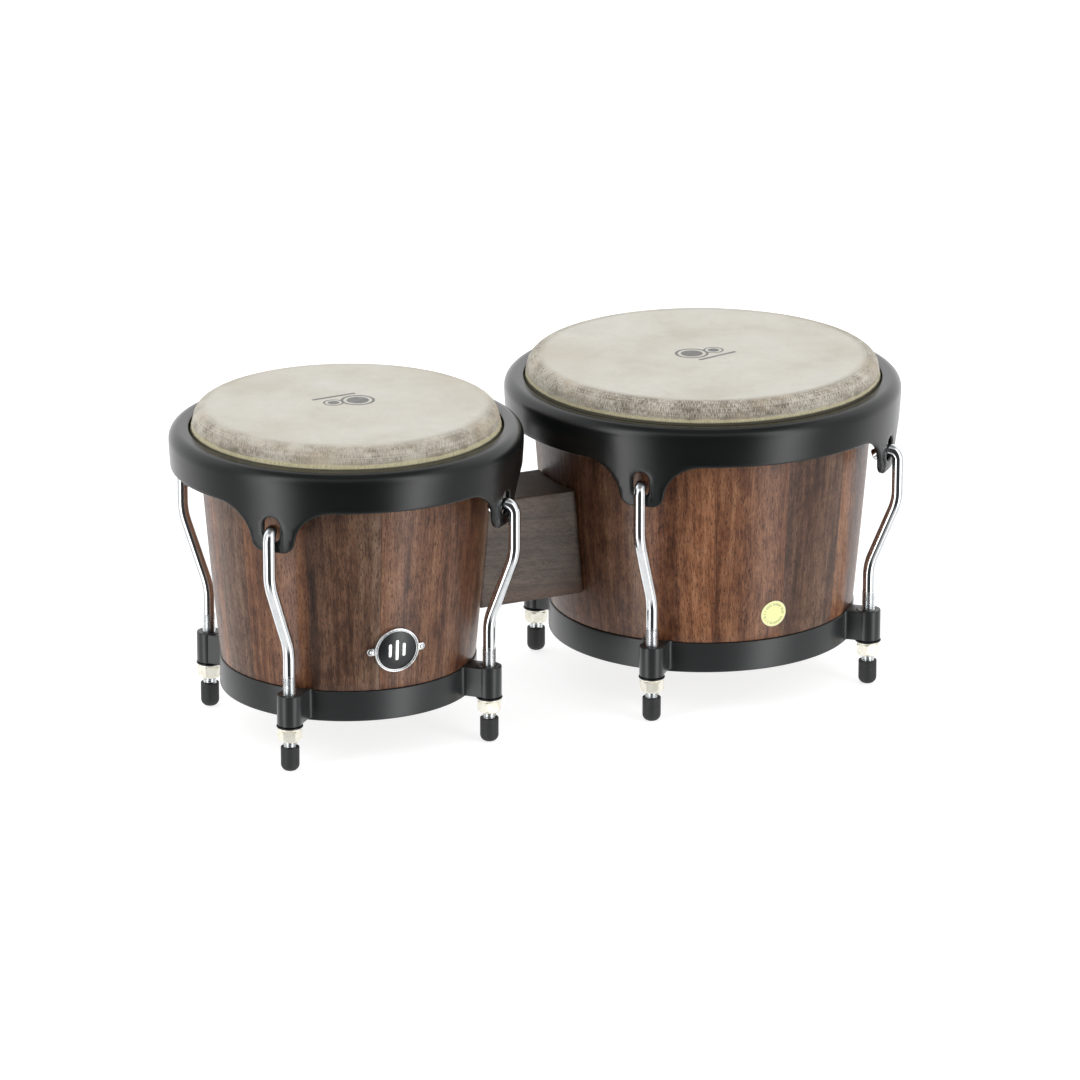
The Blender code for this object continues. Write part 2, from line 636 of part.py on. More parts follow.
def badge_frame(offset=0.0):
    """The frame on the small shell's face at the badge, moved along the tangent by an offset."""
    radius = shell_radius(SMALL, BADGE_Z)
    base = facing_out(SMALL, BADGE_ANGLE, radius, BADGE_Z, shell_slope(SMALL))
    return base @ Matrix.Translation((offset, 0.0, 0.0))


def badge_screw_holes(cutters):
    for side, offset in (("left", -BADGE_EAR_OFFSET), ("right", BADGE_EAR_OFFSET)):
        yield cylinder("badge_screw_hole_" + side, SCREW_HOLE_RADIUS, -SCREW_CUT_DEPTH, SCREW_CUT_HEIGHT,
                       cutters, badge_frame(offset), steps=8)


def build_badge(parts, cutters, materials, shell_space, screw_holes):
    """A disc with a raised border and two screw ears, its back shaped to the shell."""
    face = BADGE_HEIGHT - BADGE_RECESS
    profile = [(0.0, face), (BADGE_FACE_RADIUS, face), (BADGE_FACE_RADIUS + BADGE_BEVEL, BADGE_HEIGHT),
               (BADGE_RADIUS - BADGE_BEVEL, BADGE_HEIGHT), (BADGE_RADIUS, BADGE_HEIGHT - BADGE_BEVEL),
               (BADGE_RADIUS, BADGE_BACK), (0.0, BADGE_BACK)]
    badge = turned("badge", profile, parts, materials["chrome"], badge_frame(), steps=20, closed=False)
    for side, offset in (("left", -BADGE_EAR_OFFSET), ("right", BADGE_EAR_OFFSET)):
        ear = cylinder("badge_ear_" + side, BADGE_EAR_RADIUS, BADGE_BACK - GAP, BADGE_EAR_HEIGHT, cutters,
                       badge_frame(offset))
        combine(badge, "UNION", ear)
        build_badge_screw(side, offset, parts, materials["chrome"])
    combine(badge, "DIFFERENCE", shell_space, *screw_holes)


def build_badge_screw(side, offset, parts, material):
    seat = BADGE_EAR_HEIGHT + GAP
    tip = seat - SCREW_LENGTH
    profile = [(0.0, seat + SCREW_HEAD_HEIGHT), (SCREW_CROWN_RADIUS, seat + SCREW_CROWN_HEIGHT),
               (SCREW_HEAD_RADIUS, seat + SCREW_EDGE_HEIGHT), (SCREW_HEAD_RADIUS, seat),
               (SCREW_SHANK_RADIUS, seat), (SCREW_SHANK_RADIUS, tip), (0.0, tip - SCREW_POINT)]
    turned("badge_screw_" + side, profile, parts, material, badge_frame(offset), steps=8, closed=False)


def build_round_label(parts, cutters, material):
    """A thin round sticker that follows the large shell's face."""
    reach = LABEL_RADIUS + LABEL_SPARE
    near = [(shell_radius(LARGE, z) + GAP, z) for z in reversed(heights(LABEL_Z - reach, LABEL_Z + reach, 2))]
    profile = [(radius + LABEL_THICKNESS, z) for radius, z in near] + list(reversed(near))
    label = turned("round_label", profile, parts, material, drum_matrix(LARGE))
    frame = facing_out(LARGE, LABEL_ANGLE, shell_radius(LARGE, LABEL_Z), LABEL_Z, shell_slope(LARGE))
    outline = cylinder("label_outline", LABEL_RADIUS, -LABEL_CUT_REACH, LABEL_CUT_REACH, cutters, frame,
                       steps=24)
    combine(label, "INTERSECT", outline)


# ---------------------------------------------------------------- assembly

def build():
    clear_scene()
    parts = make_collection("bongo_drums")
    cutters = make_collection("cutters")
    materials = make_materials()
    spaces = {drum.name: shell_cutter(drum, cutters) for drum in (SMALL, LARGE)}
    rod_holes = list(rod_hole_cutters(cutters))
    screw_holes = list(badge_screw_holes(cutters))
    build_shell(SMALL, parts, materials["walnut"], rod_holes + screw_holes)
    build_shell(LARGE, parts, materials["walnut"], rod_holes)
    shapes = {
        "washer": washer_mesh(cutters),
        "nut": hex_nut_mesh("tuning_nut", NUT_FLATS, NUT_FOOT_Z, NUT_TOP_Z, LOOSE_BORE_RADIUS, cutters),
        "foot": foot_mesh(cutters),
    }
    for drum in (SMALL, LARGE):
        build_head(drum, parts, materials["rawhide"])
        build_flesh_hoop(drum, parts, materials["steel"])
        build_rim(drum, parts, cutters, materials["black_steel"])
        build_bottom_ring(drum, parts, cutters, materials["black_steel"])
        build_lugs(drum, parts, materials, shapes)
    build_centre_block(parts, materials["block_wood"], spaces.values(), rod_holes, cutters)
    build_backing_plate(SMALL, parts, cutters, materials["steel"], rod_holes, 1)
    build_backing_plate(LARGE, parts, cutters, materials["steel"], rod_holes, -1)
    build_rods(parts, cutters, materials["steel"])
    build_badge(parts, cutters, materials, spaces["small"], screw_holes)
    build_round_label(parts, cutters, materials["label_paper"])
    smooth_round_sides(parts)


build()
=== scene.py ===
import math
import random
from collections import namedtuple

import bmesh
import bpy
import numpy as np
from mathutils import Matrix, Vector, geometry, noise


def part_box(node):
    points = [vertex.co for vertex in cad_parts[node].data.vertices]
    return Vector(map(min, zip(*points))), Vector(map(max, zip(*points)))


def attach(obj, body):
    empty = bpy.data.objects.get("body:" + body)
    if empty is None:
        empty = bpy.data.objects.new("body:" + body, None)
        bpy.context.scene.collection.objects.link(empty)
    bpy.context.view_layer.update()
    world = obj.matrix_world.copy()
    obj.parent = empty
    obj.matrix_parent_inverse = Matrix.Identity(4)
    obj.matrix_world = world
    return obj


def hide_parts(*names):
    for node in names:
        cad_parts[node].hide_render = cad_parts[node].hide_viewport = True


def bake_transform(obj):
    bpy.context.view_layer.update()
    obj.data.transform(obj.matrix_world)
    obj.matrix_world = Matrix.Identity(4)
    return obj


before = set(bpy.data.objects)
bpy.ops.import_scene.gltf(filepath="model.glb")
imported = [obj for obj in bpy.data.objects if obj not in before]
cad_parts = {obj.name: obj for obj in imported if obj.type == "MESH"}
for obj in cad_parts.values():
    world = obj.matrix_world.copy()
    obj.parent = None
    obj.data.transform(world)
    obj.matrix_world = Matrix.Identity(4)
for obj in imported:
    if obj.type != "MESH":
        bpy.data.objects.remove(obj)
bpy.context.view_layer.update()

# Units are metres and +Z is up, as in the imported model. Every mesh is made in the model's own frame, so an
# object's matrix stays the identity and its texture coordinates are places in that frame.

Drum = namedtuple("Drum", "name x rim_radius shell_top shell_bottom lug_turn ear_turn seed staves")
LUG_PLACES = ("front_left", "front_right", "back_right", "back_left")


def make_drum(name, shell_top, shell_bottom, lug_turn, ear_turn, seed, staves):
    low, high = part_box(name + "_rim")
    return Drum(name, (low.x + high.x) / 2, (high.x - low.x) / 2, shell_top, shell_bottom, lug_turn, ear_turn,
                seed, staves)


SMALL = make_drum("small", 0.0866, 0.0726, -2.2, -4.9, 3.0, 12)
LARGE = make_drum("large", 0.1023, 0.0887, 1.3, -0.5, 11.0, 14)
DRUMS = (SMALL, LARGE)

ROUND_STEPS = 160
BOSS_STEPS = 64
ROD_STEPS = 40
THREAD_STEPS = 24
SKIN_STEPS = 240
WELD = 2e-7

# Shell
SHELL_FOOT_Z = 0.0286
SHELL_NOMINAL_TOP_Z = 0.191
SHELL_WALL = 0.0076
SHELL_BELLY = 0.0006
BEARING_INSET = 0.0062
BEARING_Z = 0.1867
BEARING_RADIUS = 0.0055
BEARING_ROUND_OFF = 0.0040
GAP = 0.0003

# Head and flesh hoop
SKIN = 0.0018
FLAT_ROWS = 18
WRAP_ROWS = 20
HOOP_MEET = 118.0             # where round the hoop the skin comes down to it, in degrees
HOOP_LEAVE = -172.0
HOOP_INSET = 0.0084
HOOP_Z = 0.1738
HOOP_WIRE = 0.0030

# Rim
RIM_SHEET = 0.0030
ROLL_Z = 0.1750
ROLL_WIDTH = 0.0063
ROLL_HEIGHT = 0.0070
LIP_INSET = 0.0118
TAPER = 0.065
TAPER_EASE = 0.006
BAND_FOOT_Z = 0.15915
WALL_END_Z = 0.130
EAR_FOOT_Z = 0.1336
EAR_TIP_RADIUS = 0.0075
EAR_TIP_HALF_FLAT = 0.0058
EAR_FILLET_RADIUS = 0.022
EAR_HALF_SPREAD = 0.035
EAR_SIDE_ANGLE = 15.0
EAR_HOLE_RADIUS = 0.0050
EAR_HOLE_LOW_Z = 0.1398
EAR_HOLE_HIGH_Z = 0.1548
SHEET_ROUNDING = 0.0010
RIM_SPACING = 0.0026

# Bottom ring
RING_FOOT_Z = 0.0265
RING_TOP_Z = 0.0444
RING_PROUD = 0.0006
RING_WALL = 0.0022
RING_LIP_THICKNESS = 0.0018
RING_LIP_WIDTH = 0.0065
BOSS_RADIUS = 0.0073
BOSS_BORE = 0.0042
BOSS_FOOT_Z = 0.0276
BOSS_TOP_Z = 0.0460
WEB_HALF = 0.0070
WEB_FOOT_Z = 0.0279
WEB_TOP_Z = 0.0456
WEB_FLARE = 0.0026

# Lugs and what they carry
LUG_RADIUS = 0.0035
LUG_OFFSET = 0.0174
LUG_LEAD = 0.5
LUG_END_Z = 0.0040
LUG_LOW_BEND_Z = 0.0670
LUG_BEND_RADIUS = 0.032
LUG_SLANT = 22.5
HOOK_RADIUS = 0.0055
HOOK_Z = 0.1411
HOOK_ANGLE = 118.0
HOOK_STUB = 0.0075
HOOK_SWING = 7.5
THREAD_TOP_Z = 0.0575
THREAD_PITCH = 0.00125
THREAD_RADIUS = 0.0039
THREAD_DEPTH = 0.00075
THREAD_LEVELS = ((0.0, 1.0), (0.12, 1.0), (0.5, 0.0), (0.62, 0.0))      # (part of a pitch, how far sunk)
ROD_ROUNDING = 0.0008
NUT_FLATS = 0.0123
NUT_FOOT_Z = 0.0181
NUT_TOP_Z = 0.0262
NUT_COLLAR = 0.0012
NUT_COLUMNS = 72
NUT_ROWS = 7
NUT_SEED = 7
WASHER_RADIUS = 0.0077
WASHER_FOOT_Z = 0.02645
WASHER_TOP_Z = 0.02735
LOOSE_BORE = 0.0041
FOOT_RADIUS = 0.0054
FOOT_HEIGHT = 0.0145
FOOT_FLOOR = 0.0037
FOOT_BORE = 0.0041
FOOT_ROUNDING = 0.0040

# Centre block and its hardware
BLOCK_WIDTH = 0.047
BLOCK_FOOT_Z = 0.0659
BLOCK_TOP_Z = 0.1297
ROD_HEIGHTS = (("lower", 0.0808), ("upper", 0.1148))
ROD_RADIUS = 0.0030
ROD_PITCH = 0.0010
ROD_THREAD_DEPTH = 0.00045
ROD_END = 0.0100
PLATE_WIDTH = 0.036
PLATE_FOOT_Z = 0.0710
PLATE_TOP_Z = 0.1246
PLATE_THICKNESS = 0.0016
ROD_NUT_FLATS = 0.0100
ROD_NUT_HEIGHT = 0.0050
ROD_NUT_STANDOFF = 0.0032

# Badge and label
BADGE_ANGLE = -93.7
BADGE_Z = 0.0690
BADGE_RADIUS = 0.0135
BADGE_FACE = 0.0117
BADGE_HEIGHT = 0.0018
BADGE_EAR_RADIUS = 0.0026
BADGE_EAR_OFFSET = 0.0152
BADGE_EAR_HEIGHT = 0.0009
BADGE_BARS = ((-0.0042, 0.0040), (0.0, 0.0062), (0.0042, 0.0040))       # (place across, half length)
BADGE_BAR_HALF = 0.0010
BADGE_SCREW_HEAD = 0.0015
BADGE_SLOT_HALF = (0.0011, 0.00020)
LABEL_ANGLE = -90.3
LABEL_Z = 0.0603
LABEL_RADIUS = 0.0080
LABEL_THICKNESS = 0.0004
LABEL_TICKS = 44

# Wood and skin colours, as stops of a ramp
WOOD_TONES = ((0.38, (0.024, 0.010, 0.006)), (0.45, (0.066, 0.028, 0.015)), (0.50, (0.120, 0.056, 0.031)),
              (0.55, (0.178, 0.092, 0.053)), (0.63, (0.255, 0.152, 0.096)))
BLOCK_TONES = ((0.34, (0.029, 0.018, 0.013)), (0.45, (0.061, 0.042, 0.031)), (0.54, (0.100, 0.070, 0.051)),
               (0.67, (0.152, 0.112, 0.084)))
FACE_TONES = ((0.30, (0.490, 0.455, 0.385)), (0.46, (0.552, 0.528, 0.462)), (0.60, (0.582, 0.562, 0.505)),
              (0.75, (0.538, 0.518, 0.460)))
COLLAR_TONES = ((0.26, (0.110, 0.090, 0.066)), (0.42, (0.255, 0.224, 0.172)), (0.54, (0.410, 0.375, 0.308)),
                (0.70, (0.545, 0.515, 0.450)))
# The collar's lift in tone, where its fade ends, the strength of its hair and where its yellow foot starts
COLLAR = {"small": (0.015, 0.0105, 0.95, 0.0181), "large": (-0.02, 0.0080, 1.50, 0.0186)}
# The printed device: its place and turn on each head, rings as (x, y, outer, inner), and a bar
STAMP_PLACE = {"small": (0.0025, 0.008), "large": (0.0012, -0.001)}
STAMP_TURN = {"small": 3.0, "large": 192.0}
STAMP_RINGS = ((0.0061, -0.0052, 0.0100, 0.0083), (0.0061, -0.0052, 0.0065, 0.0),
               (-0.0083, -0.0026, 0.0061, 0.0049), (-0.0083, -0.0026, 0.0034, 0.0))
STAMP_BAR = (-0.0165, 0.0113, 0.0068, 0.0092)
STAMP_EDGE = 0.00025

# Studio; the side light is brightness by the angle from the camera's side, as (degrees, radiance)
CAMERA_AZIMUTH = -26.32
CAMERA_ELEVATION = 17.84
CAMERA_DISTANCE = 4.165
CAMERA_TARGET = Vector((0.0014, 0.0, 0.0940))
CAMERA_LENS = 236.6
CAMERA_SENSOR = 36.0
CAMERA_REACH = 100.0
SIDE_LIGHT = ((0.0, 0.03), (30.0, 0.08), (42.0, 2.9), (49.0, 5.4), (57.0, 2.9), (70.0, 0.65), (96.0, 0.80),
              (118.0, 1.35), (150.0, 1.3), (180.0, 1.3))
SIDE_SCALE = 6.0
BOTTOM_LIGHT = 0.95
TOP_LIGHT = 1.15
HIGH_GLOSS = 0.22             # what polished surfaces see overhead
FLOOR_SIZE = 12.0
FLOOR_STEPS = 12
FLOOR_Z = -0.0002


# ---------------------------------------------------------------- shapes in the plane

def arc(centre, radius, start, end, steps):
    """Points of an arc, its angles in degrees; a radius may be one number or a pair of semi-axes."""
    across, along = radius if isinstance(radius, tuple) else (radius, radius)
    angles = [math.radians(start + (end - start) * i / steps) for i in range(steps + 1)]
    return [(centre[0] + across * math.cos(a), centre[1] + along * math.sin(a)) for a in angles]


def rounded(points, radius, steps=4):
    """A closed outline with its corners rounded; a point may carry its own radius as a third number."""
    result = []
    count = len(points)
    for i, point in enumerate(points):
        here = Vector(point[:2])
        size = point[2] if len(point) > 2 else radius
        to_last = Vector(points[i - 1][:2]) - here
        to_next = Vector(points[(i + 1) % count][:2]) - here
        if size <= 0.0 or to_last.length < 1e-9 or to_next.length < 1e-9:
            result.append(tuple(here))
            continue
        half = to_last.angle(to_next) / 2
        reach = min(size / max(math.tan(half), 1e-6), 0.48 * to_last.length, 0.48 * to_next.length)
        a = here + to_last.normalized() * reach
        b = here + to_next.normalized() * reach
        for k in range(steps + 1):
            t = k / steps
            result.append(tuple(a * (1 - t) ** 2 + here * 2 * t * (1 - t) + b * t * t))
    return result


def resampled(points, spacing):
    """The polyline with points added so that no step is longer than the spacing."""
    result = [points[0]]
    for a, b in zip(points, points[1:]):
        steps = max(1, math.ceil(math.dist(a, b) / spacing))
        result += [(a[0] + (b[0] - a[0]) * k / steps, a[1] + (b[1] - a[1]) * k / steps)
                   for k in range(1, steps + 1)]
    return result


def closed_resampled(points, spacing):
    return resampled(list(points) + [points[0]], spacing)[:-1]


def signed_area(points):
    p = np.array(points)
    q = np.roll(p, -1, axis=0)
    return 0.5 * float(np.sum(p[:, 0] * q[:, 1] - q[:, 0] * p[:, 1]))


def inside(points, polygon):
    """Which of the points lie inside the polygon."""
    p = np.asarray(points, float)
    x, y = p[:, 0], p[:, 1]
    result = np.zeros(len(p), bool)
    a = np.asarray(polygon, float)
    b = np.roll(a, -1, axis=0)
    for (ax, ay), (bx, by) in zip(a, b):
        if ay == by:
            continue
        crosses = ((ay > y) != (by > y)) & (x < (bx - ax) * (y - ay) / (by - ay) + ax)
        result ^= crosses
    return result


def away_from(points, polyline, distance):
    """Which of the points keep the distance from the polyline's vertices."""
    p = np.asarray(points, float)
    keep = np.ones(len(p), bool)
    for vx, vy in polyline:
        keep &= (p[:, 0] - vx) ** 2 + (p[:, 1] - vy) ** 2 > distance * distance
    return keep


def inward_normals(loop, period):
    """Unit normals to the left of a loop's direction; an open loop that wraps round has a period in x."""
    p = np.array(loop, float)
    after = np.roll(p, -1, axis=0)
    before = np.roll(p, 1, axis=0)
    if period is not None:
        step = math.copysign(period, p[-1, 0] - p[0, 0])
        after[-1] = p[1] + (step, 0.0)
        before[0] = p[-2] - (step, 0.0)
    a = p - before
    b = after - p
    a /= np.linalg.norm(a, axis=1)[:, None] + 1e-12
    b /= np.linalg.norm(b, axis=1)[:, None] + 1e-12
    t = a + b
    t /= np.linalg.norm(t, axis=1)[:, None] + 1e-12
    return np.stack([-t[:, 1], t[:, 0]], axis=1)


# ---------------------------------------------------------------- meshes

class Shape:
    """Vertices and faces gathered for one piece."""

    def __init__(self):
        self.verts = []
        self.faces = []
        self.spots = []

    def grid(self, points, wrap_rows=False, wrap_columns=True, spots=None):
        """Quads over an array of points in rows and columns."""
        points = np.asarray(points, float)
        rows, columns = points.shape[:2]
        start = len(self.verts)
        self.verts += [tuple(p) for p in points.reshape(-1, 3)]
        if spots is not None:
            self.spots += [tuple(s) for s in np.asarray(spots, float).reshape(-1, 3)]
        for i in range(rows if wrap_rows else rows - 1):
            for j in range(columns if wrap_columns else columns - 1):
                k, m = (i + 1) % rows, (j + 1) % columns
                self.faces.append((start + i * columns + j, start + i * columns + m,
                                   start + k * columns + m, start + k * columns + j))

    def triangles(self, points, triangles):
        start = len(self.verts)
        self.verts += [tuple(p) for p in points]
        self.faces += [tuple(start + i for i in t) for t in triangles]

    def add(self, other, matrix):
        start = len(self.verts)
        self.verts += [tuple(matrix @ Vector(v)) for v in other.verts]
        self.faces += [tuple(start + i for i in face) for face in other.faces]

    def moved(self, matrix):
        result = Shape()
        result.add(self, matrix)
        return result

    def mesh(self, name, sharp_angle):
        mesh = bpy.data.meshes.new(name)
        mesh.from_pydata(self.verts, [], self.faces)
        if self.spots:
            attribute = mesh.attributes.new("spot", "FLOAT_VECTOR", "POINT")
            attribute.data.foreach_set("vector", np.array(self.spots, np.float32).reshape(-1))
        bm = bmesh.new()
        bm.from_mesh(mesh)
        bmesh.ops.remove_doubles(bm, verts=bm.verts, dist=WELD)
        bmesh.ops.dissolve_degenerate(bm, edges=bm.edges, dist=WELD)
        bmesh.ops.recalc_face_normals(bm, faces=bm.faces)
        bm.to_mesh(mesh)
        bm.free()
        mesh.shade_smooth()
        mesh.set_sharp_from_angle(angle=math.radians(sharp_angle))
        return mesh


def add_piece(name, shape, material, slot, body, replaced=(), sharp_angle=40.0):
    """Link a piece that rides on a body and stands for some CAD nodes; its slot argument is not used."""
    mesh = shape.mesh(name, sharp_angle)
    mesh.materials.append(material)
    obj = bpy.data.objects.new(name, mesh)
    bpy.context.scene.collection.objects.link(obj)
    if body:
        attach(obj, body)
    if replaced:
        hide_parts(*replaced)
    return obj


def round_angles(steps):
    return [2 * math.pi * j / steps for j in range(steps)]


def lathe(shape, profile, steps, centre_x=0.0, closed=True):
    """Turn a (radius, height) outline about the vertical line through a place on the X axis."""
    angles = np.arange(steps) * 2 * math.pi / steps
    radius = np.array([p[0] for p in profile])[:, None]
    height = np.array([p[1] for p in profile])[:, None] + 0.0 * angles
    points = np.stack([centre_x + radius * np.cos(angles), radius * np.sin(angles), height], axis=-1)
    shape.grid(points, wrap_rows=closed)


def disc(shape, radius, z):
    """A flat round end of a thread about local Z."""
    rim = [(radius * math.cos(a), radius * math.sin(a), z) for a in round_angles(THREAD_STEPS)]
    shape.grid([[(0.0, 0.0, z)] * THREAD_STEPS, rim])


def sweep(shape, path, radius, steps, rounding):
    """A round rod along a path of points, with rounded ends."""
    path = [Vector(p) for p in path]
    first = (path[0] - path[1]).normalized()
    last = (path[-1] - path[-2]).normalized()
    ease = [(rounding * (1 - math.cos(a)), radius - rounding * (1 - math.sin(a)))
            for a in (math.radians(30.0 * k) for k in range(4))]
    stations = [(path[0], 0.0, -first)] + [(path[0] - first * back, size, -first) for back, size in ease]
    for before, here, after in zip(path, path[1:], path[2:]):
        direction = ((here - before).normalized() + (after - here).normalized()).normalized()
        stations.append((here, radius, direction))
    stations += [(path[-1] - last * back, size, last) for back, size in reversed(ease)]
    stations.append((path[-1], 0.0, last))
    side = Vector((0.0, 1.0, 0.0))
    rows = []
    for centre, size, direction in stations:
        side = (side - direction * side.dot(direction)).normalized()
        other = direction.cross(side)
        rows.append([tuple(centre + side * size * math.cos(a) + other * size * math.sin(a))
                     for a in round_angles(steps)])
    shape.grid(rows)


def slab(shape, loops, thickness, rounding, place, spacing=None, seams=(), period=None, lattice=None):
    """A sheet cut to outlines in the plane, with rounded edges, carried to its place by a function.

    The first loop is the outside and the rest are holes. place(x, y, depth) takes arrays and returns points.
    A loop marked as wrapping is an open line round a drum, one period long; the first two are then the
    sheet's two edges, and seams are the lines where its ends meet.
    """
    steps = 3
    turns = [math.radians(90.0 * k / steps) for k in range(steps + 1)]
    insets = [(rounding * (1 - math.sin(a)), rounding * (1 - math.cos(a))) for a in turns]
    insets += [(inset, thickness - depth) for inset, depth in reversed(insets)]
    caps = []
    for loop, wraps in loops:
        points = np.array(loop, float)
        normals = inward_normals(loop, period if wraps else None)
        rows = [place(*(points + normals * inset).T, np.full(len(points), depth)) for inset, depth in insets]
        shape.grid(rows, wrap_columns=not wraps)
        caps.append(points + normals * rounding)
    coords = []
    edges = []
    for cap, (loop, wraps) in zip(caps, loops):
        start = len(coords)
        coords += [Vector(p) for p in cap]
        count = len(cap)
        edges += [(start + i, start + (i + 1) % count) for i in range(count - 1 if wraps else count)]
    for seam in seams:
        start = len(coords)
        coords += [Vector(p) for p in seam]
        edges += [(start + i, start + i + 1) for i in range(len(seam) - 1)]
    outline = np.concatenate(caps[:2]) if loops[0][1] else caps[0]
    holes = [cap for cap, (loop, wraps) in list(zip(caps, loops))[1:] if not wraps]
    spots = lattice
    if spots is None and spacing:
        low, high = np.min(outline, axis=0), np.max(outline, axis=0)
        xs = np.arange(low[0] + spacing / 2, high[0], spacing)
        ys = np.arange(low[1] + spacing / 2, high[1], spacing)
        spots = np.array([(x, y) for x in xs for y in ys])
    if spots is not None and len(spots):
        keep = inside(spots, outline)
        for hole in holes:
            keep &= ~inside(spots, hole)
        spots = spots[keep]
        for line in [*caps, *seams]:
            spots = spots[away_from(spots, line, 0.45 * spacing)]
        coords += [Vector(p) for p in spots]
    verts, _, faces, _, _, _ = geometry.delaunay_2d_cdt(coords, edges, [], 0, 1e-8)
    flat = np.array([tuple(v) for v in verts])
    tris = np.array(faces)
    centres = flat[tris].mean(axis=1)
    keep = inside(centres, outline)
    for hole in holes:
        keep &= ~inside(centres, hole)
    tris = tris[keep]
    for depth, turned in ((0.0, False), (thickness, True)):
        points = place(flat[:, 0], flat[:, 1], np.full(len(flat), depth))
        shape.triangles(points, [tuple(t[::-1]) if turned else tuple(t) for t in tris])


def helix_rod(shape, radius, depth, pitch, low, high, plain):
    """The surface of a thread about local Z, from a flat foot up to a plain rod of its own radius."""
    turns = int(math.ceil((high - low) / pitch)) + 2
    rows = []
    for m in range(-len(THREAD_LEVELS), turns * len(THREAD_LEVELS)):
        part, sunk = THREAD_LEVELS[m % len(THREAD_LEVELS)]
        row = []
        for j in range(THREAD_STEPS + 1):
            z = low + pitch * (m // len(THREAD_LEVELS) + part + j / THREAD_STEPS)
            fade = min(1.0, max(0.0, (high - z) / pitch))
            size = (radius - depth * sunk) * fade + plain * (1.0 - fade)
            a = 2 * math.pi * j / THREAD_STEPS
            row.append((size * math.cos(a), size * math.sin(a), min(max(z, low), high)))
        rows.append(row)
    shape.grid(rows, wrap_columns=False)


def hex_nut(shape, flats, low, high, bore, top_chamfer, foot_chamfer):
    """A hexagon nut about local Z: corners cut back by a chamfer at each end."""
    angles = np.arange(NUT_COLUMNS) * 2 * math.pi / NUT_COLUMNS
    local = (angles + math.pi / 6) % (math.pi / 3) - math.pi / 6
    hexagon = flats / 2 / np.cos(local)
    corner = flats / 2 / math.cos(math.pi / 6)
    face = flats / 2 * 0.94
    sections = [(bore + 0.0004, low), (face, low)]
    for k in range(1, NUT_ROWS + 1):
        sections.append((face + (corner - face) * k / NUT_ROWS, low + foot_chamfer * (k / NUT_ROWS)))
    for k in range(NUT_ROWS, 0, -1):
        sections.append((face + (corner - face) * k / NUT_ROWS, high - top_chamfer * (k / NUT_ROWS)))
    sections += [(face, high), (bore + 0.0004, high), (bore, high - 0.0004), (bore, low + 0.0004)]
    points = []
    for limit, z in sections:
        size = np.minimum(hexagon, limit) if limit > face else np.full(NUT_COLUMNS, limit)
        points.append(np.stack([size * np.cos(angles), size * np.sin(angles), 0.0 * angles + z], axis=-1))
    shape.grid(points, wrap_rows=True)


# ---------------------------------------------------------------- places

def facing_out(drum, angle, radius, height, tilt):
    """A frame whose Z points out of the drum, its X along the tangent and its Y up."""
    axes = Matrix(((0, 0, 1, 0), (1, 0, 0, 0), (0, 1, 0, 0), (0, 0, 0, 1)))
    turn = Matrix.Rotation(math.radians(angle), 4, "Z")
    move = Matrix.Translation((drum.x, 0.0, 0.0)) @ turn @ Matrix.Translation((radius, 0.0, height))
    return move @ axes @ Matrix.Rotation(tilt, 4, "X")


def lug_frames(drum):
    """Each lug's name and the frame at its axis, its X pointing out of the drum."""
    for place in LUG_PLACES:
        low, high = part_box(f"{drum.name}_washer_{place}")
        x, y = (low.x + high.x) / 2, (low.y + high.y) / 2
        angle = math.atan2(y, x - drum.x)
        yield place, Matrix.Translation((x, y, 0.0)) @ Matrix.Rotation(angle, 4, "Z")


def shell_radius(drum, z):
    part = (z - SHELL_FOOT_Z) / (SHELL_NOMINAL_TOP_Z - SHELL_FOOT_Z)
    belly = SHELL_BELLY * np.sin(math.pi * part)
    return drum.shell_bottom + (drum.shell_top - drum.shell_bottom) * part + belly


def shell_slope(drum):
    return math.atan2(drum.shell_top - drum.shell_bottom, SHELL_NOMINAL_TOP_Z - SHELL_FOOT_Z)


def ring_outer_radius(drum):
    return float(shell_radius(drum, RING_TOP_Z)) + RING_PROUD


def tension_body(drum):
    return drum.name + "_tension_set"


# ---------------------------------------------------------------- node materials

class Value:
    """A node's output. A sum, difference or product with it makes the Math node for that."""

    def __init__(self, graph, socket):
        self.graph = graph
        self.socket = socket

    def __add__(self, other):
        return self.graph.math("ADD", self, other)

    def __sub__(self, other):
        return self.graph.math("SUBTRACT", self, other)

    def __rsub__(self, other):
        return self.graph.math("SUBTRACT", other, self)

    def __mul__(self, other):
        return self.graph.math("MULTIPLY", self, other)

    __radd__ = __add__
    __rmul__ = __mul__


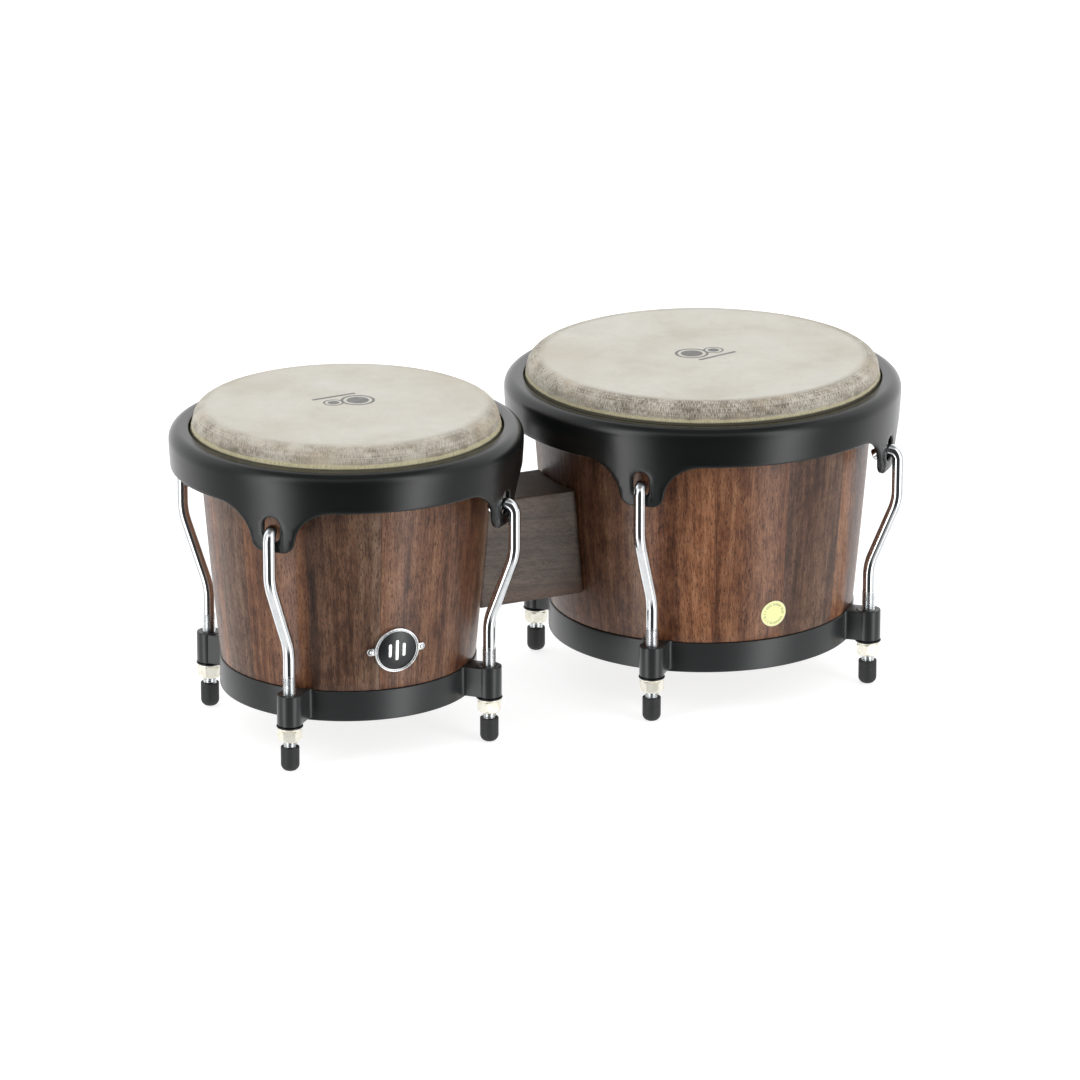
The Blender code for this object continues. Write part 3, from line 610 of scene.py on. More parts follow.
class Graph:
    """A node material under construction, or the tree of something else such as the world."""

    def __init__(self, name, tree=None):
        if tree is None:
            self.material = bpy.data.materials.new(name)
            self.material.use_nodes = True
            tree = self.material.node_tree
        self.tree = tree
        self.tree.nodes.clear()

    def feed(self, socket, value):
        if isinstance(value, Value):
            self.tree.links.new(value.socket, socket)
        elif isinstance(value, (tuple, list)) and len(value) == 3 and len(socket.default_value) == 4:
            socket.default_value = (*value, 1.0)
        else:
            socket.default_value = value

    def add(self, kind, *values, settings=None, output=0, **inputs):
        """Make a node, feed its inputs in order or by name, and give one of its outputs."""
        node = self.tree.nodes.new("ShaderNode" + kind)
        for key, value in (settings or {}).items():
            setattr(node, key, value)
        for socket, value in zip(node.inputs, values):
            self.feed(socket, value)
        for key, value in inputs.items():
            self.feed(node.inputs[key.replace("_", " ")], value)
        return Value(self, node.outputs[output]) if node.outputs else node

    def place(self, name="Object"):
        return self.add("TexCoord", output=name)

    def spot(self):
        return self.add("Attribute", settings={"attribute_name": "spot"}, output="Vector")

    def math(self, operation, *values):
        return self.add("Math", *values, settings={"operation": operation})

    def vector(self, operation, *values):
        output = "Value" if operation == "LENGTH" else "Vector"
        return self.add("VectorMath", *values, settings={"operation": operation}, output=output)

    def split(self, vector):
        node = self.add("SeparateXYZ", vector).socket.node
        return [Value(self, socket) for socket in node.outputs]

    def join(self, x, y, z):
        return self.add("CombineXYZ", x, y, z)

    def noise(self, vector, scale=1.0, detail=2.0, roughness=0.5, distortion=0.0):
        return self.add("TexNoise", Vector=vector, Scale=scale, Detail=detail, Roughness=roughness,
                        Distortion=distortion, output="Fac")

    def random(self, value):
        settings = {"noise_dimensions": "1D"}
        return self.split(self.add("TexWhiteNoise", W=value, settings=settings, output="Color"))

    def total(self, *terms):
        """The sum of weighted values, given as pairs of weight and value."""
        result = 0.0
        for weight, value in terms:
            result = result + value * weight
        return result

    def ramp(self, factor, stops):
        color = self.add("ValToRGB", factor, output="Color")
        elements = color.socket.node.color_ramp.elements
        while len(elements) < len(stops):
            elements.new(0.5)
        for element, (position, tone) in zip(elements, stops):
            element.position = position
            element.color = (*tone, 1.0)
        return color

    def mix(self, factor, a, b, mode="MIX"):
        settings = {"data_type": "RGBA", "blend_type": mode, "clamp_factor": True}
        mixed = self.add("Mix", settings=settings, output=2)
        for index, value in ((0, factor), (6, a), (7, b)):
            self.feed(mixed.socket.node.inputs[index], value)
        return mixed

    def tinted(self, color, tint):
        return self.mix(1.0, color, tint, "MULTIPLY")

    def step(self, value, low, high, to_low=0.0, to_high=1.0):
        return self.add("MapRange", Value=value, From_Min=low, From_Max=high, To_Min=to_low, To_Max=to_high,
                        settings={"interpolation_type": "SMOOTHSTEP"}, output="Result")

    def bump(self, height, distance, strength=1.0):
        return self.add("Bump", Height=height, Distance=distance, Strength=strength, output="Normal")

    def surface(self, **inputs):
        self.add("OutputMaterial", Surface=self.add("BsdfPrincipled", **inputs))
        return self.material


def grain_color(g, across, along, tones, shift, pore_depth=0.74):
    """Streaky wood colour; across and along are distances in metres, shift moves the pattern."""
    warp = g.noise(g.join(across * 14.0, along * 5.0, shift))
    across = across + (warp - 0.5) * 0.016

    def layer(frequency, stretch, detail, roughness=0.55):
        return g.noise(g.join(across * frequency, along * stretch, shift), detail=detail, roughness=roughness)

    bands = layer(48.0, 3.0, 3.0)
    streaks = layer(300.0, 16.0, 4.0, 0.68)
    fibres = layer(1700.0, 210.0, 4.0, 0.72)
    figure = layer(150.0, 85.0, 4.0, 0.60)
    pores = layer(1700.0, 290.0, 3.0, 0.65)
    tone = g.total((0.26, bands), (0.33, streaks), (0.23, fibres), (0.18, figure))
    dark = g.step(pores, 0.52, 0.64)
    color = g.mix(dark * pore_depth, g.ramp(tone, tones), (0.018, 0.008, 0.005))
    return color, tone, dark, bands


def stave_grain(g, drum, radius, tones):
    """The grain of a drum's staves, with the place round the drum in staves and each stave's own draws."""
    x, y, z = g.split(g.vector("SUBTRACT", g.place(), (drum.x, 0.0, 0.0)))
    angle = g.math("ARCTAN2", y, x)
    turns = angle * (drum.staves / (2 * math.pi)) + (drum.seed + 0.37)
    draws = g.random(g.math("FLOOR", turns))
    return turns, draws, grain_color(g, angle * radius + draws[0], z, tones, draws[1] * 9.0)


def walnut_material(drum):
    """Stained staves, each with its own tone and grain, under a satin lacquer."""
    g = Graph(drum.name + "_walnut")
    radius = (drum.shell_top + drum.shell_bottom) / 2
    turns, draws, (color, tone, dark, bands) = stave_grain(g, drum, radius, WOOD_TONES)
    grey = g.tinted(color, (0.90, 1.02, 1.12))
    warm = g.tinted(color, (1.20, 1.00, 0.82))
    color = g.mix(g.step(draws[2] + bands * 0.5, 0.50, 1.35), warm, grey)
    level = 0.85 + draws[0] * 0.30
    color = g.tinted(color, g.join(level, level, level))
    fraction = g.math("FRACT", turns)
    seam = g.step(g.math("MINIMUM", fraction, 1.0 - fraction), 0.0, 0.012, 1.0, 0.0)
    color = g.mix(seam * 0.45, color, (0.015, 0.009, 0.007))
    height = tone * 0.4 - (dark * 0.5 + seam * 0.6)
    return g.surface(Base_Color=color, Roughness=0.36 + (dark + tone) * 0.10,
                     Normal=g.bump(height, 0.00012, 0.6), Coat_Weight=0.16, Coat_Roughness=0.15,
                     Specular_IOR_Level=0.28)


def raw_wood_material(drum):
    """The unlacquered inner wall."""
    g = Graph(drum.name + "_raw_wood")
    color, tone, dark, _ = stave_grain(g, drum, drum.shell_bottom, BLOCK_TONES)[2]
    return g.surface(Base_Color=g.mix(0.5, color, (0.30, 0.20, 0.13)), Roughness=0.72,
                     Normal=g.bump(tone - dark, 0.0002))


def block_material():
    """The centre block's wood, its grain running from drum to drum."""
    g = Graph("block_wood_grain")
    x, y, z = g.split(g.place())
    color, tone, dark, _ = grain_color(g, z * 0.9 + y * 0.8 + x * 0.10, x, BLOCK_TONES, 4.7, 0.42)
    low = g.step(z, BLOCK_FOOT_Z, BLOCK_FOOT_Z + 0.016, 1.0, 0.0)
    color = g.mix(low * 0.5, color, g.tinted(color, (1.25, 0.86, 0.72)))
    return g.surface(Base_Color=color, Roughness=0.38 + tone * 0.12,
                     Normal=g.bump(tone * 0.5 - dark, 0.00010, 0.5), Coat_Weight=0.10, Coat_Roughness=0.22,
                     Specular_IOR_Level=0.32)


def powder_coat_material(name, low, high, roughness, specular):
    """Satin black powder coat with its fine orange peel."""
    g = Graph(name)
    place = g.place()
    peel = g.noise(place, 900.0)
    cloud = g.noise(place, 28.0, 3.0)
    dust = g.step(g.noise(place, 2600.0, 1.0), 0.70, 0.80)
    color = g.mix(dust * 0.18, g.mix(cloud, low, high), (0.04, 0.04, 0.04))
    return g.surface(Base_Color=color, Roughness=roughness + cloud * 0.06, Normal=g.bump(peel, 0.00004, 0.35),
                     Specular_IOR_Level=specular)


def metal_material(name, color, other, roughness, spread, scale=180.0, bump=0.0):
    """A metal whose tint and polish wander a little over its surface."""
    g = Graph(name)
    place = g.place()
    cloud = g.noise(place, scale, 3.0)
    fine = g.noise(place, scale * 12.0)
    inputs = {"Base_Color": g.mix(g.step(cloud, 0.35, 0.68), color, other), "Metallic": 1.0,
              "Roughness": roughness + cloud * fine * (spread * 2.0)}
    if bump:
        inputs["Normal"] = g.bump(fine, bump, 0.5)
    return g.surface(**inputs)


def rubber_material():
    g = Graph("black_rubber")
    place = g.place()
    fine = g.noise(place, 1500.0, 3.0)
    cloud = g.noise(place, 160.0, 3.0)
    color = g.mix(cloud, (0.012, 0.013, 0.013), (0.024, 0.025, 0.025))
    dust = g.step(g.noise(place, 700.0, 4.0), 0.60, 0.78)
    return g.surface(Base_Color=g.mix(dust * 0.3, color, (0.07, 0.07, 0.065)), Roughness=0.52 + fine * 0.2,
                     Normal=g.bump(fine, 0.00008, 0.5), Specular_IOR_Level=0.4)


# ---------------------------------------------------------------- skin

def stamp_mask(g, x, y, drum):
    """A plain printed device near the middle of the head: two rings and a bar."""
    turn = math.radians(STAMP_TURN[drum.name])
    cx, cy = STAMP_PLACE[drum.name]
    u = x - cx
    v = y - cy
    along = u * math.cos(turn) + v * math.sin(turn)
    up = v * math.cos(turn) - u * math.sin(turn)

    def above(value, limit):
        return g.step(value, limit - STAMP_EDGE, limit + STAMP_EDGE)

    def below(value, limit):
        return g.step(value, limit - STAMP_EDGE, limit + STAMP_EDGE, 1.0, 0.0)

    mask = None
    for ox, oy, outer, inner in STAMP_RINGS:
        away = g.vector("LENGTH", g.join(along - ox, up - oy, 0.0))
        ring = below(away, outer) * above(away, inner)
        mask = g.math("MAXIMUM", mask, ring) if mask else ring
    x0, x1, y0, y1 = STAMP_BAR
    bar = above(along, x0) * below(along, x1) * (above(up, y0) * below(up, y1))
    return g.math("MAXIMUM", mask, bar)


def skin_face(g, flat, reach, edge, mottle, fibre):
    """The playing face's colour: soft clouds, fine mottling, pale veins and tanned places near the edge."""
    cloud = g.noise(flat, 16.0, 4.0, 0.6)
    vein = g.math("ABSOLUTE", g.noise(flat, 34.0, 5.0, distortion=0.8) - 0.5)
    veins = g.step(vein, 0.0, 0.018, 1.0, 0.0)
    face = g.ramp(cloud, FACE_TONES)
    level = 0.825 + (mottle + fibre * 0.6) * 0.175
    face = g.tinted(face, g.join(level, level, level))
    face = g.mix(veins * 0.16, face, (0.42, 0.37, 0.29))
    tan = g.step(g.noise(flat, 9.0), 0.48, 0.68) * g.step(reach, edge - 0.050, edge, 0.15, 1.0)
    return g.mix(tan * 0.50, face, (0.45, 0.395, 0.310))


def skin_material(drum, edge):
    """Natural rawhide: a smooth mottled face, a hairy grey collar, a yellow band at its foot and painted
    shade under the rim's lip.

    The spot attribute holds the place on the unrolled skin in x and y and the distance from its middle in z.
    """
    g = Graph(drum.name + "_rawhide")
    x, y, reach = g.split(g.spot())
    flat = g.join(x, y, drum.seed)
    ring = g.math("ARCTAN2", y, x) * drum.shell_top
    mottle = g.noise(flat, 95.0, 4.0, 0.62)
    fibre = g.noise(g.vector("MULTIPLY", flat, (620.0, 1100.0, 1.0)), 1.0, 3.0, 0.6)
    face = skin_face(g, flat, reach, edge, mottle, fibre)

    def hide(frequency, stretch, detail, roughness=0.6):
        return g.noise(g.join(ring * frequency, reach * stretch, drum.seed), 1.0, detail, roughness)

    hair = hide(2300.0, 330.0, 3.0, 0.65)
    lock = hide(75.0, 90.0, 4.0)
    wide = hide(15.0, 22.0, 2.0)
    layers = hide(16.0, 1100.0, 3.0)
    lift, fade, strength, foot = COLLAR[drum.name]
    tone = g.total((strength, hair), (0.75, lock), (0.45, wide), (0.40, layers))
    tone = tone + (lift + 0.5 - (strength + 1.60) / 2)
    collar = g.ramp(tone, COLLAR_TONES)
    collar = g.mix(g.step(hide(22.0, 60.0, 2.0), 0.50, 0.66, 0.0, 0.45), collar, (0.43, 0.345, 0.250))
    depth = reach - edge
    ragged = depth + (lock + hair - 1.0) * 0.0050
    cover = g.step(ragged, 0.0012, fade, 0.0, 0.95)
    color = g.mix(cover, face, collar)
    yellow = g.mix(g.step(hair, 0.35, 0.65), (0.66, 0.61, 0.40), (0.42, 0.375, 0.215))
    low = depth + (lock - 0.5) * 0.0030
    color = g.mix(g.step(low, foot, foot + 0.0010, 0.0, 0.88), color, yellow)
    # Painted shade: the skin's last stretch, where it passes under the rim's lip, is painted near black for
    # the shadowed gap between lip and skin.
    color = g.mix(g.step(depth, 0.0205, 0.0214, 0.0, 0.92), color, (0.030, 0.027, 0.018))
    ink = stamp_mask(g, x, y, drum) * g.step(mottle, 0.20, 0.55, 0.74, 0.95)
    color = g.mix(ink, color, (0.135, 0.135, 0.135))
    height = fibre * 0.25 + (mottle * 0.5 + hair * cover * 1.6)
    return g.surface(Base_Color=color, Roughness=0.50 + mottle * 0.16, Normal=g.bump(height, 0.00022, 0.55),
                     Specular_IOR_Level=0.35, Subsurface_Weight=0.08, Subsurface_Radius=(0.004, 0.003, 0.002),
                     Subsurface_Scale=0.5)


def head_path(drum):
    """The skin's outer line from its middle, over the bearing edge and under the rim, round the hoop."""
    crown = (drum.shell_top - BEARING_INSET, BEARING_Z)
    over = BEARING_RADIUS + GAP + SKIN
    hoop = (drum.rim_radius - HOOP_INSET, HOOP_Z)
    wrap = HOOP_WIRE + GAP / 3 + SKIN
    flat = [(crown[0] * k / FLAT_ROWS, BEARING_Z + over) for k in range(FLAT_ROWS)]
    turn = arc(crown, over, 90.0, 12.0, 10)
    round_hoop = arc(hoop, wrap, HOOP_MEET, HOOP_LEAVE, WRAP_ROWS)

    def heading(angle):
        return Vector((math.cos(math.radians(angle)), math.sin(math.radians(angle))))

    a, d = Vector(turn[-1]), Vector(round_hoop[0])
    b = a + heading(-78.0) * 0.0046
    c = d - heading(HOOP_MEET - 90.0) * 0.0016
    drop = []
    for k in range(1, 11):
        t = k / 11
        drop.append(tuple(a * (1 - t) ** 3 + b * 3 * t * (1 - t) ** 2 + c * 3 * t * t * (1 - t) + d * t ** 3))
    return flat + turn + drop + round_hoop


def offset_path(path, distance):
    """The path moved to its right-hand side; the path's first point stays on the axis."""
    p = np.array(path)
    t = np.gradient(p, axis=0)
    t /= np.linalg.norm(t, axis=1)[:, None]
    moved = p + np.stack([t[:, 1], -t[:, 0]], axis=1) * distance
    moved[0, 0] = 0.0
    return [tuple(q) for q in moved]


def build_skin(drum):
    outer = head_path(drum)
    inner = offset_path(outer, SKIN)
    lengths = [0.0]
    for a, b in zip(outer, outer[1:]):
        lengths.append(lengths[-1] + math.dist(a, b))
    tip = [tuple(np.array(outer[-1]) * (1 - t) + np.array(inner[-1]) * t) for t in (0.33, 0.67)]
    profile = outer + tip + inner[::-1]
    reach = lengths + [lengths[-1] + 0.0005] * 2 + lengths[::-1]
    flat_end = lengths[FLAT_ROWS - 1]
    points = []
    spots = []
    for (radius, z), s in zip(profile, reach):
        row = []
        loose = min(1.0, max(0.0, (s - flat_end - 0.0055) / 0.006)) if s < lengths[-WRAP_ROWS] else 0.3
        for a in round_angles(SKIN_STEPS):
            across, up = math.cos(a), math.sin(a)
            away = Vector((across, up, drum.seed))
            wobble = noise.noise(away * 2.6) * 0.00035 + noise.noise(away * 11.0) * 0.00016
            sag = noise.noise(Vector((radius * across, radius * up, drum.seed)) * 26.0) * 0.00012
            ripple = 0.00010 * math.sin(a * 57.0 + 5.0 * noise.noise(away * 3.0)) * loose
            size = max(0.0, radius + (wobble * 0.6 + ripple) * loose) if radius > 0 else 0.0
            row.append((drum.x + size * across, size * up, z + sag * (1.0 - loose) - 0.0001))
        points.append(row)
        spots.append([(s * math.cos(a), s * math.sin(a), s) for a in round_angles(SKIN_STEPS)])
    shape = Shape()
    shape.grid(points, spots=spots)
    skin = add_piece(drum.name + "_head_skin", shape, skin_material(drum, flat_end), "rawhide", None,
                     [drum.name + "_head"], 60.0)
    tension_body(drum)
    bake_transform(skin)


def build_hoop(drum, material):
    wire = arc((drum.rim_radius - HOOP_INSET, HOOP_Z), HOOP_WIRE, 90.0, -270.0, 16)[:-1]
    shape = Shape()
    lathe(shape, wire, ROUND_STEPS, drum.x)
    add_piece(drum.name + "_hoop_wire", shape, material, "steel", tension_body(drum),
              [drum.name + "_flesh_hoop"])


# ---------------------------------------------------------------- shell

def build_shell(drum):
    crown = (drum.shell_top - BEARING_INSET, BEARING_Z)
    rebate = ring_outer_radius(drum) - RING_WALL - GAP
    step_z = RING_TOP_Z + GAP
    rows = np.linspace(BEARING_Z - BEARING_ROUND_OFF, step_z + 0.0006, 30)
    outer = [(float(shell_radius(drum, z)), float(z)) for z in rows]
    edge = float(shell_radius(drum, step_z))
    outer += [(edge - 0.0002, step_z + 0.0001), (edge - 0.0006, step_z)]
    inner = [(float(shell_radius(drum, z)) - SHELL_WALL, float(z))
             for z in np.linspace(SHELL_FOOT_Z, BEARING_Z, 30)]
    body = arc(crown, BEARING_RADIUS, 90.0, 0.0, 10) + outer
    body += [(rebate, step_z), (rebate, SHELL_FOOT_Z)] + inner
    shape = Shape()
    lathe(shape, body, ROUND_STEPS, drum.x)
    obj = add_piece(drum.name + "_shell_staves", shape, walnut_material(drum), "walnut", "frame",
                    [drum.name + "_shell"], 35.0)
    obj.data.materials.append(raw_wood_material(drum))
    for polygon in obj.data.polygons:
        centre = polygon.center
        away = math.hypot(centre.x - drum.x, centre.y)
        if away < float(shell_radius(drum, centre.z)) - SHELL_WALL * 0.75 or centre.z > BEARING_Z + 0.001:
            polygon.material_index = 1


# ---------------------------------------------------------------- rim

def rim_line(drum):
    """The rim's outer surface from its flat lip over the shoulder and down the wall."""
    centre = (drum.rim_radius - ROLL_WIDTH, ROLL_Z)
    lip = [(float(r), ROLL_Z + ROLL_HEIGHT)
           for r in np.linspace(drum.rim_radius - LIP_INSET, centre[0], 9)[:-1]]
    roll = arc(centre, (ROLL_WIDTH, ROLL_HEIGHT), 90.0, 0.0, 40)
    wall = []
    for z in np.linspace(ROLL_Z - 0.0004, WALL_END_Z, 60):
        fall = ROLL_Z - float(z)
        inset = TAPER * (fall * fall / (2 * TAPER_EASE) if fall < TAPER_EASE else fall - TAPER_EASE / 2)
        wall.append((drum.rim_radius - inset, float(z)))
    return lip + roll + wall


def build_rim(drum, material):
    line = np.array(rim_line(drum))
    steps = np.linalg.norm(np.diff(line, axis=0), axis=1)
    length = np.concatenate([[0.0], np.cumsum(steps)])
    tangent = np.gradient(line, axis=0)
    tangent /= np.linalg.norm(tangent, axis=1)[:, None]
    normal = np.stack([-tangent[:, 1], tangent[:, 0]], axis=1)
    size = drum.rim_radius
    period = 2 * math.pi * size
    wall = line[:, 1] < ROLL_Z

    def down(z):
        """Distance along the line to a height on the wall."""
        return float(np.interp(-z, -line[wall][:, 1], length[wall]))

    def place(x, y, depth):
        angle = math.radians(drum.ear_turn) + x / size
        r = np.interp(y, length, line[:, 0]) - depth * np.interp(y, length, normal[:, 0])
        z = np.interp(y, length, line[:, 1]) - depth * np.interp(y, length, normal[:, 1])
        return np.stack([drum.x + r * np.cos(angle), r * np.sin(angle), z], axis=-1)

    def across(offset):
        return size * math.asin(offset / (size - 0.004))

    fillet = arc((EAR_HALF_SPREAD, BAND_FOOT_Z - EAR_FILLET_RADIUS), EAR_FILLET_RADIUS, 90.0,
                 180.0 - EAR_SIDE_ANGLE, 16)
    tip = arc((EAR_TIP_HALF_FLAT, EAR_FOOT_Z + EAR_TIP_RADIUS), EAR_TIP_RADIUS, -EAR_SIDE_ANGLE, -90.0, 8)
    half = fillet + tip
    ear = [(-x, z) for x, z in half] + [(x, z) for x, z in reversed(half)]
    low = EAR_HOLE_LOW_Z + EAR_HOLE_RADIUS
    high = EAR_HOLE_HIGH_Z - EAR_HOLE_RADIUS
    slot = arc((0.0, high), EAR_HOLE_RADIUS, 0.0, 180.0, 12)
    slot += arc((0.0, low), EAR_HOLE_RADIUS, 180.0, 360.0, 12)
    foot_line = [(0.0, down(BAND_FOOT_Z))]
    holes = []
    for k in range(4):
        middle = period * (k * 90.0 + 45.0) / 360.0
        foot_line += [(middle + across(x), down(z)) for x, z in ear]
        hole = [(middle + across(x), down(z)) for x, z in slot]
        hole = closed_resampled(hole, 0.0014)
        holes.append(hole if signed_area(hole) < 0 else hole[::-1])
    foot_line.append((period, down(BAND_FOOT_Z)))
    foot_line = resampled(foot_line, 0.0018)
    lip_line = resampled([(0.0, 0.0), (period, 0.0)], RIM_SPACING)
    foot_y = down(BAND_FOOT_Z)
    bend_end = float(length[np.argmax(wall)])
    ys = np.concatenate([np.arange(SHEET_ROUNDING + 0.0008, bend_end, 0.0010),
                         np.arange(bend_end, length[-1], RIM_SPACING)])
    xs = np.linspace(0.0, period, int(round(period / RIM_SPACING)) + 1)[1:-1]
    lattice = np.array([(x, y) for x in xs for y in ys])
    seam_ys = [y for y in ys if SHEET_ROUNDING + 0.0004 < y < foot_y - SHEET_ROUNDING - 0.0006]
    seams = [[(x, SHEET_ROUNDING)] + [(x, y) for y in seam_ys] + [(x, foot_y - SHEET_ROUNDING)]
             for x in (0.0, period)]
    # The foot's line runs back so that the sheet lies on its left, as it does for the lip's line.
    loops = [(lip_line, True), (foot_line[::-1], True)] + [(hole, False) for hole in holes]
    shape = Shape()
    slab(shape, loops, RIM_SHEET, SHEET_ROUNDING, place, RIM_SPACING, seams, period, lattice)
    add_piece(drum.name + "_rim_pressing", shape, material, "black_steel", tension_body(drum),
              [drum.name + "_rim"], 60.0)


# ---------------------------------------------------------------- bottom ring

def build_ring(drum, material):
    outer = ring_outer_radius(drum)
    lip_top = RING_FOOT_Z + RING_LIP_THICKNESS
    lip = outer - RING_WALL - RING_LIP_WIDTH
    wall = outer - RING_WALL
    corners = [(outer, RING_TOP_Z, 0.0007), (outer, RING_FOOT_Z, 0.0010), (lip, RING_FOOT_Z, 0.0006),
               (lip, lip_top, 0.0006), (wall, lip_top, 0.0003), (wall, RING_TOP_Z, 0.0005)]
    shape = Shape()
    lathe(shape, rounded(corners, 0.0005), ROUND_STEPS, drum.x)
    add_piece(drum.name + "_ring_band", shape, material, "black_steel", "frame",
              [drum.name + "_bottom_ring"], 50.0)
    lug_circle = math.dist((drum.x, 0.0), next(lug_frames(drum))[1].translation.xy)
    root = -lug_circle + math.sqrt(outer ** 2 - (WEB_HALF + WEB_FLARE) ** 2)
    flare = arc((root + WEB_FLARE, WEB_HALF + WEB_FLARE), WEB_FLARE, 180.0, 270.0, 6)
    half = [(root - 0.0001, WEB_HALF + WEB_FLARE)] + flare + [(-0.0022, WEB_HALF)]
    web = half + [(-0.0030, 0.0)] + [(x, -y) for x, y in reversed(half)]
    web = closed_resampled(web[::-1] if signed_area(web) < 0 else web, 0.004)

    def upright(x, y, depth):
        return np.stack([x, y, WEB_TOP_Z - depth], axis=-1)

    corners = [(BOSS_RADIUS, BOSS_TOP_Z, 0.0007), (BOSS_RADIUS, BOSS_FOOT_Z, 0.0007),
               (BOSS_BORE, BOSS_FOOT_Z, 0.0003), (BOSS_BORE, BOSS_TOP_Z, 0.0005)]
    boss = Shape()
    lathe(boss, rounded(corners, 0.0005), BOSS_STEPS)
    gusset = Shape()
    slab(gusset, [(web, False)], WEB_TOP_Z - WEB_FOOT_Z, 0.0006, upright)
    for place, matrix in lug_frames(drum):
        for piece, made in (("boss", boss), ("boss_web", gusset)):
            add_piece(f"{drum.name}_{piece}_{place}", made.moved(matrix), material, "black_steel", "frame",
                      sharp_angle=50.0)


# ---------------------------------------------------------------- lugs, nuts, washers and feet

def lug_path(drum):
    """The rod's centre line above its thread: the crank out to the hooked leg, and the hook."""
    circle = math.dist((drum.x, 0.0), next(lug_frames(drum))[1].translation.xy)
    turn = math.radians(drum.ear_turn + LUG_LEAD - drum.lug_turn)
    leg = np.array([(circle + LUG_OFFSET) * math.cos(turn) - circle, (circle + LUG_OFFSET) * math.sin(turn)])
    aim = turn + math.pi + math.radians(HOOK_SWING)
    aim = np.array([math.cos(aim), math.sin(aim)])
    reach = float(np.linalg.norm(leg))
    low = arc((LUG_BEND_RADIUS, LUG_LOW_BEND_Z), LUG_BEND_RADIUS, 180.0, 180.0 - LUG_SLANT, 8)
    slant_out = reach - 2 * (low[-1][0] - low[0][0])
    slant_up = slant_out / math.tan(math.radians(LUG_SLANT))
    high_z = low[-1][1] + slant_up + LUG_BEND_RADIUS * math.sin(math.radians(LUG_SLANT))
    high = arc((reach - LUG_BEND_RADIUS, high_z), LUG_BEND_RADIUS, -LUG_SLANT, 0.0, 8)
    hook = arc((HOOK_RADIUS, HOOK_Z), HOOK_RADIUS, 180.0, 180.0 - HOOK_ANGLE, 20)
    droop = math.radians(HOOK_ANGLE - 90.0)
    hook.append((hook[-1][0] + HOOK_STUB * math.cos(droop), hook[-1][1] - HOOK_STUB * math.sin(droop)))
    crank = [(0.0, THREAD_TOP_Z - 0.002), (0.0, THREAD_TOP_Z)] + low + high
    return [(*(leg * out / reach), up) for out, up in crank] + [(*(leg + aim * out), up) for out, up in hook]


def lug_screw():
    shape = Shape()
    helix_rod(shape, THREAD_RADIUS, THREAD_DEPTH, THREAD_PITCH, LUG_END_Z, THREAD_TOP_Z, LUG_RADIUS)
    disc(shape, THREAD_RADIUS, LUG_END_Z)
    return shape


def tuning_nut():
    """A hexagon with a round collar on top of it."""
    seat = NUT_TOP_Z - NUT_COLLAR
    brim = NUT_FLATS * 0.545
    shape = Shape()
    hex_nut(shape, NUT_FLATS, NUT_FOOT_Z, seat, LOOSE_BORE, 0.0005, 0.0017)
    lathe(shape, rounded([(brim, NUT_TOP_Z, 0.0004), (brim, NUT_TOP_Z - 0.0009, 0.0003),
                          (NUT_FLATS * 0.49, seat - 0.0002), (LOOSE_BORE, seat - 0.0002),
                          (LOOSE_BORE, NUT_TOP_Z)], 0.0002, 3), 48)
    return shape


def rubber_foot():
    sole = FOOT_RADIUS - FOOT_ROUNDING
    shape = Shape()
    lathe(shape, [(0.0, FOOT_FLOOR), (FOOT_BORE, FOOT_FLOOR)]
          + arc((FOOT_BORE + 0.0003, FOOT_HEIGHT - 0.0003), 0.0003, 180.0, 90.0, 3)
          + arc((FOOT_RADIUS - 0.0005, FOOT_HEIGHT - 0.0005), 0.0005, 90.0, 0.0, 4)
          + arc((sole, FOOT_ROUNDING), FOOT_ROUNDING, 0.0, -90.0, 8) + [(0.0, 0.0)], 48, closed=False)
    return shape


def build_lugs(drum, chrome, thread, zinc, oxide, rubber):
    rod = Shape()
    sweep(rod, lug_path(drum), LUG_RADIUS, ROD_STEPS, ROD_ROUNDING)
    washer = Shape()
    lathe(washer, rounded([(WASHER_RADIUS, WASHER_TOP_Z), (WASHER_RADIUS, WASHER_FOOT_Z),
                           (LOOSE_BORE, WASHER_FOOT_Z), (LOOSE_BORE, WASHER_TOP_Z)], 0.0003), 64)
    screw, nut, foot = lug_screw(), tuning_nut(), rubber_foot()
    tension = tension_body(drum)
    rng = random.Random(NUT_SEED)
    for place, matrix in lug_frames(drum):
        turn = Matrix.Rotation(rng.uniform(0.0, math.pi / 3), 4, "Z")
        for piece, made, suffix, material, slot, body, spin in (
                ("lug", rod, "rod", chrome, "chrome", tension, Matrix()),
                ("nut", nut, "hex", zinc, "zinc", f"{drum.name}_nut_{place}", turn),
                ("washer", washer, "disc", oxide, "dark_washer", "frame", Matrix()),
                ("foot", foot, "cap", rubber, "rubber", tension, Matrix())):
            node = f"{drum.name}_{piece}_{place}"
            add_piece(f"{node}_{suffix}", made.moved(matrix @ spin), material, slot, body, [node], 38.0)
        add_piece(f"{drum.name}_lug_{place}_thread", screw.moved(matrix), thread, "chrome", tension,
                  sharp_angle=30.0)


# ---------------------------------------------------------------- centre block and hardware

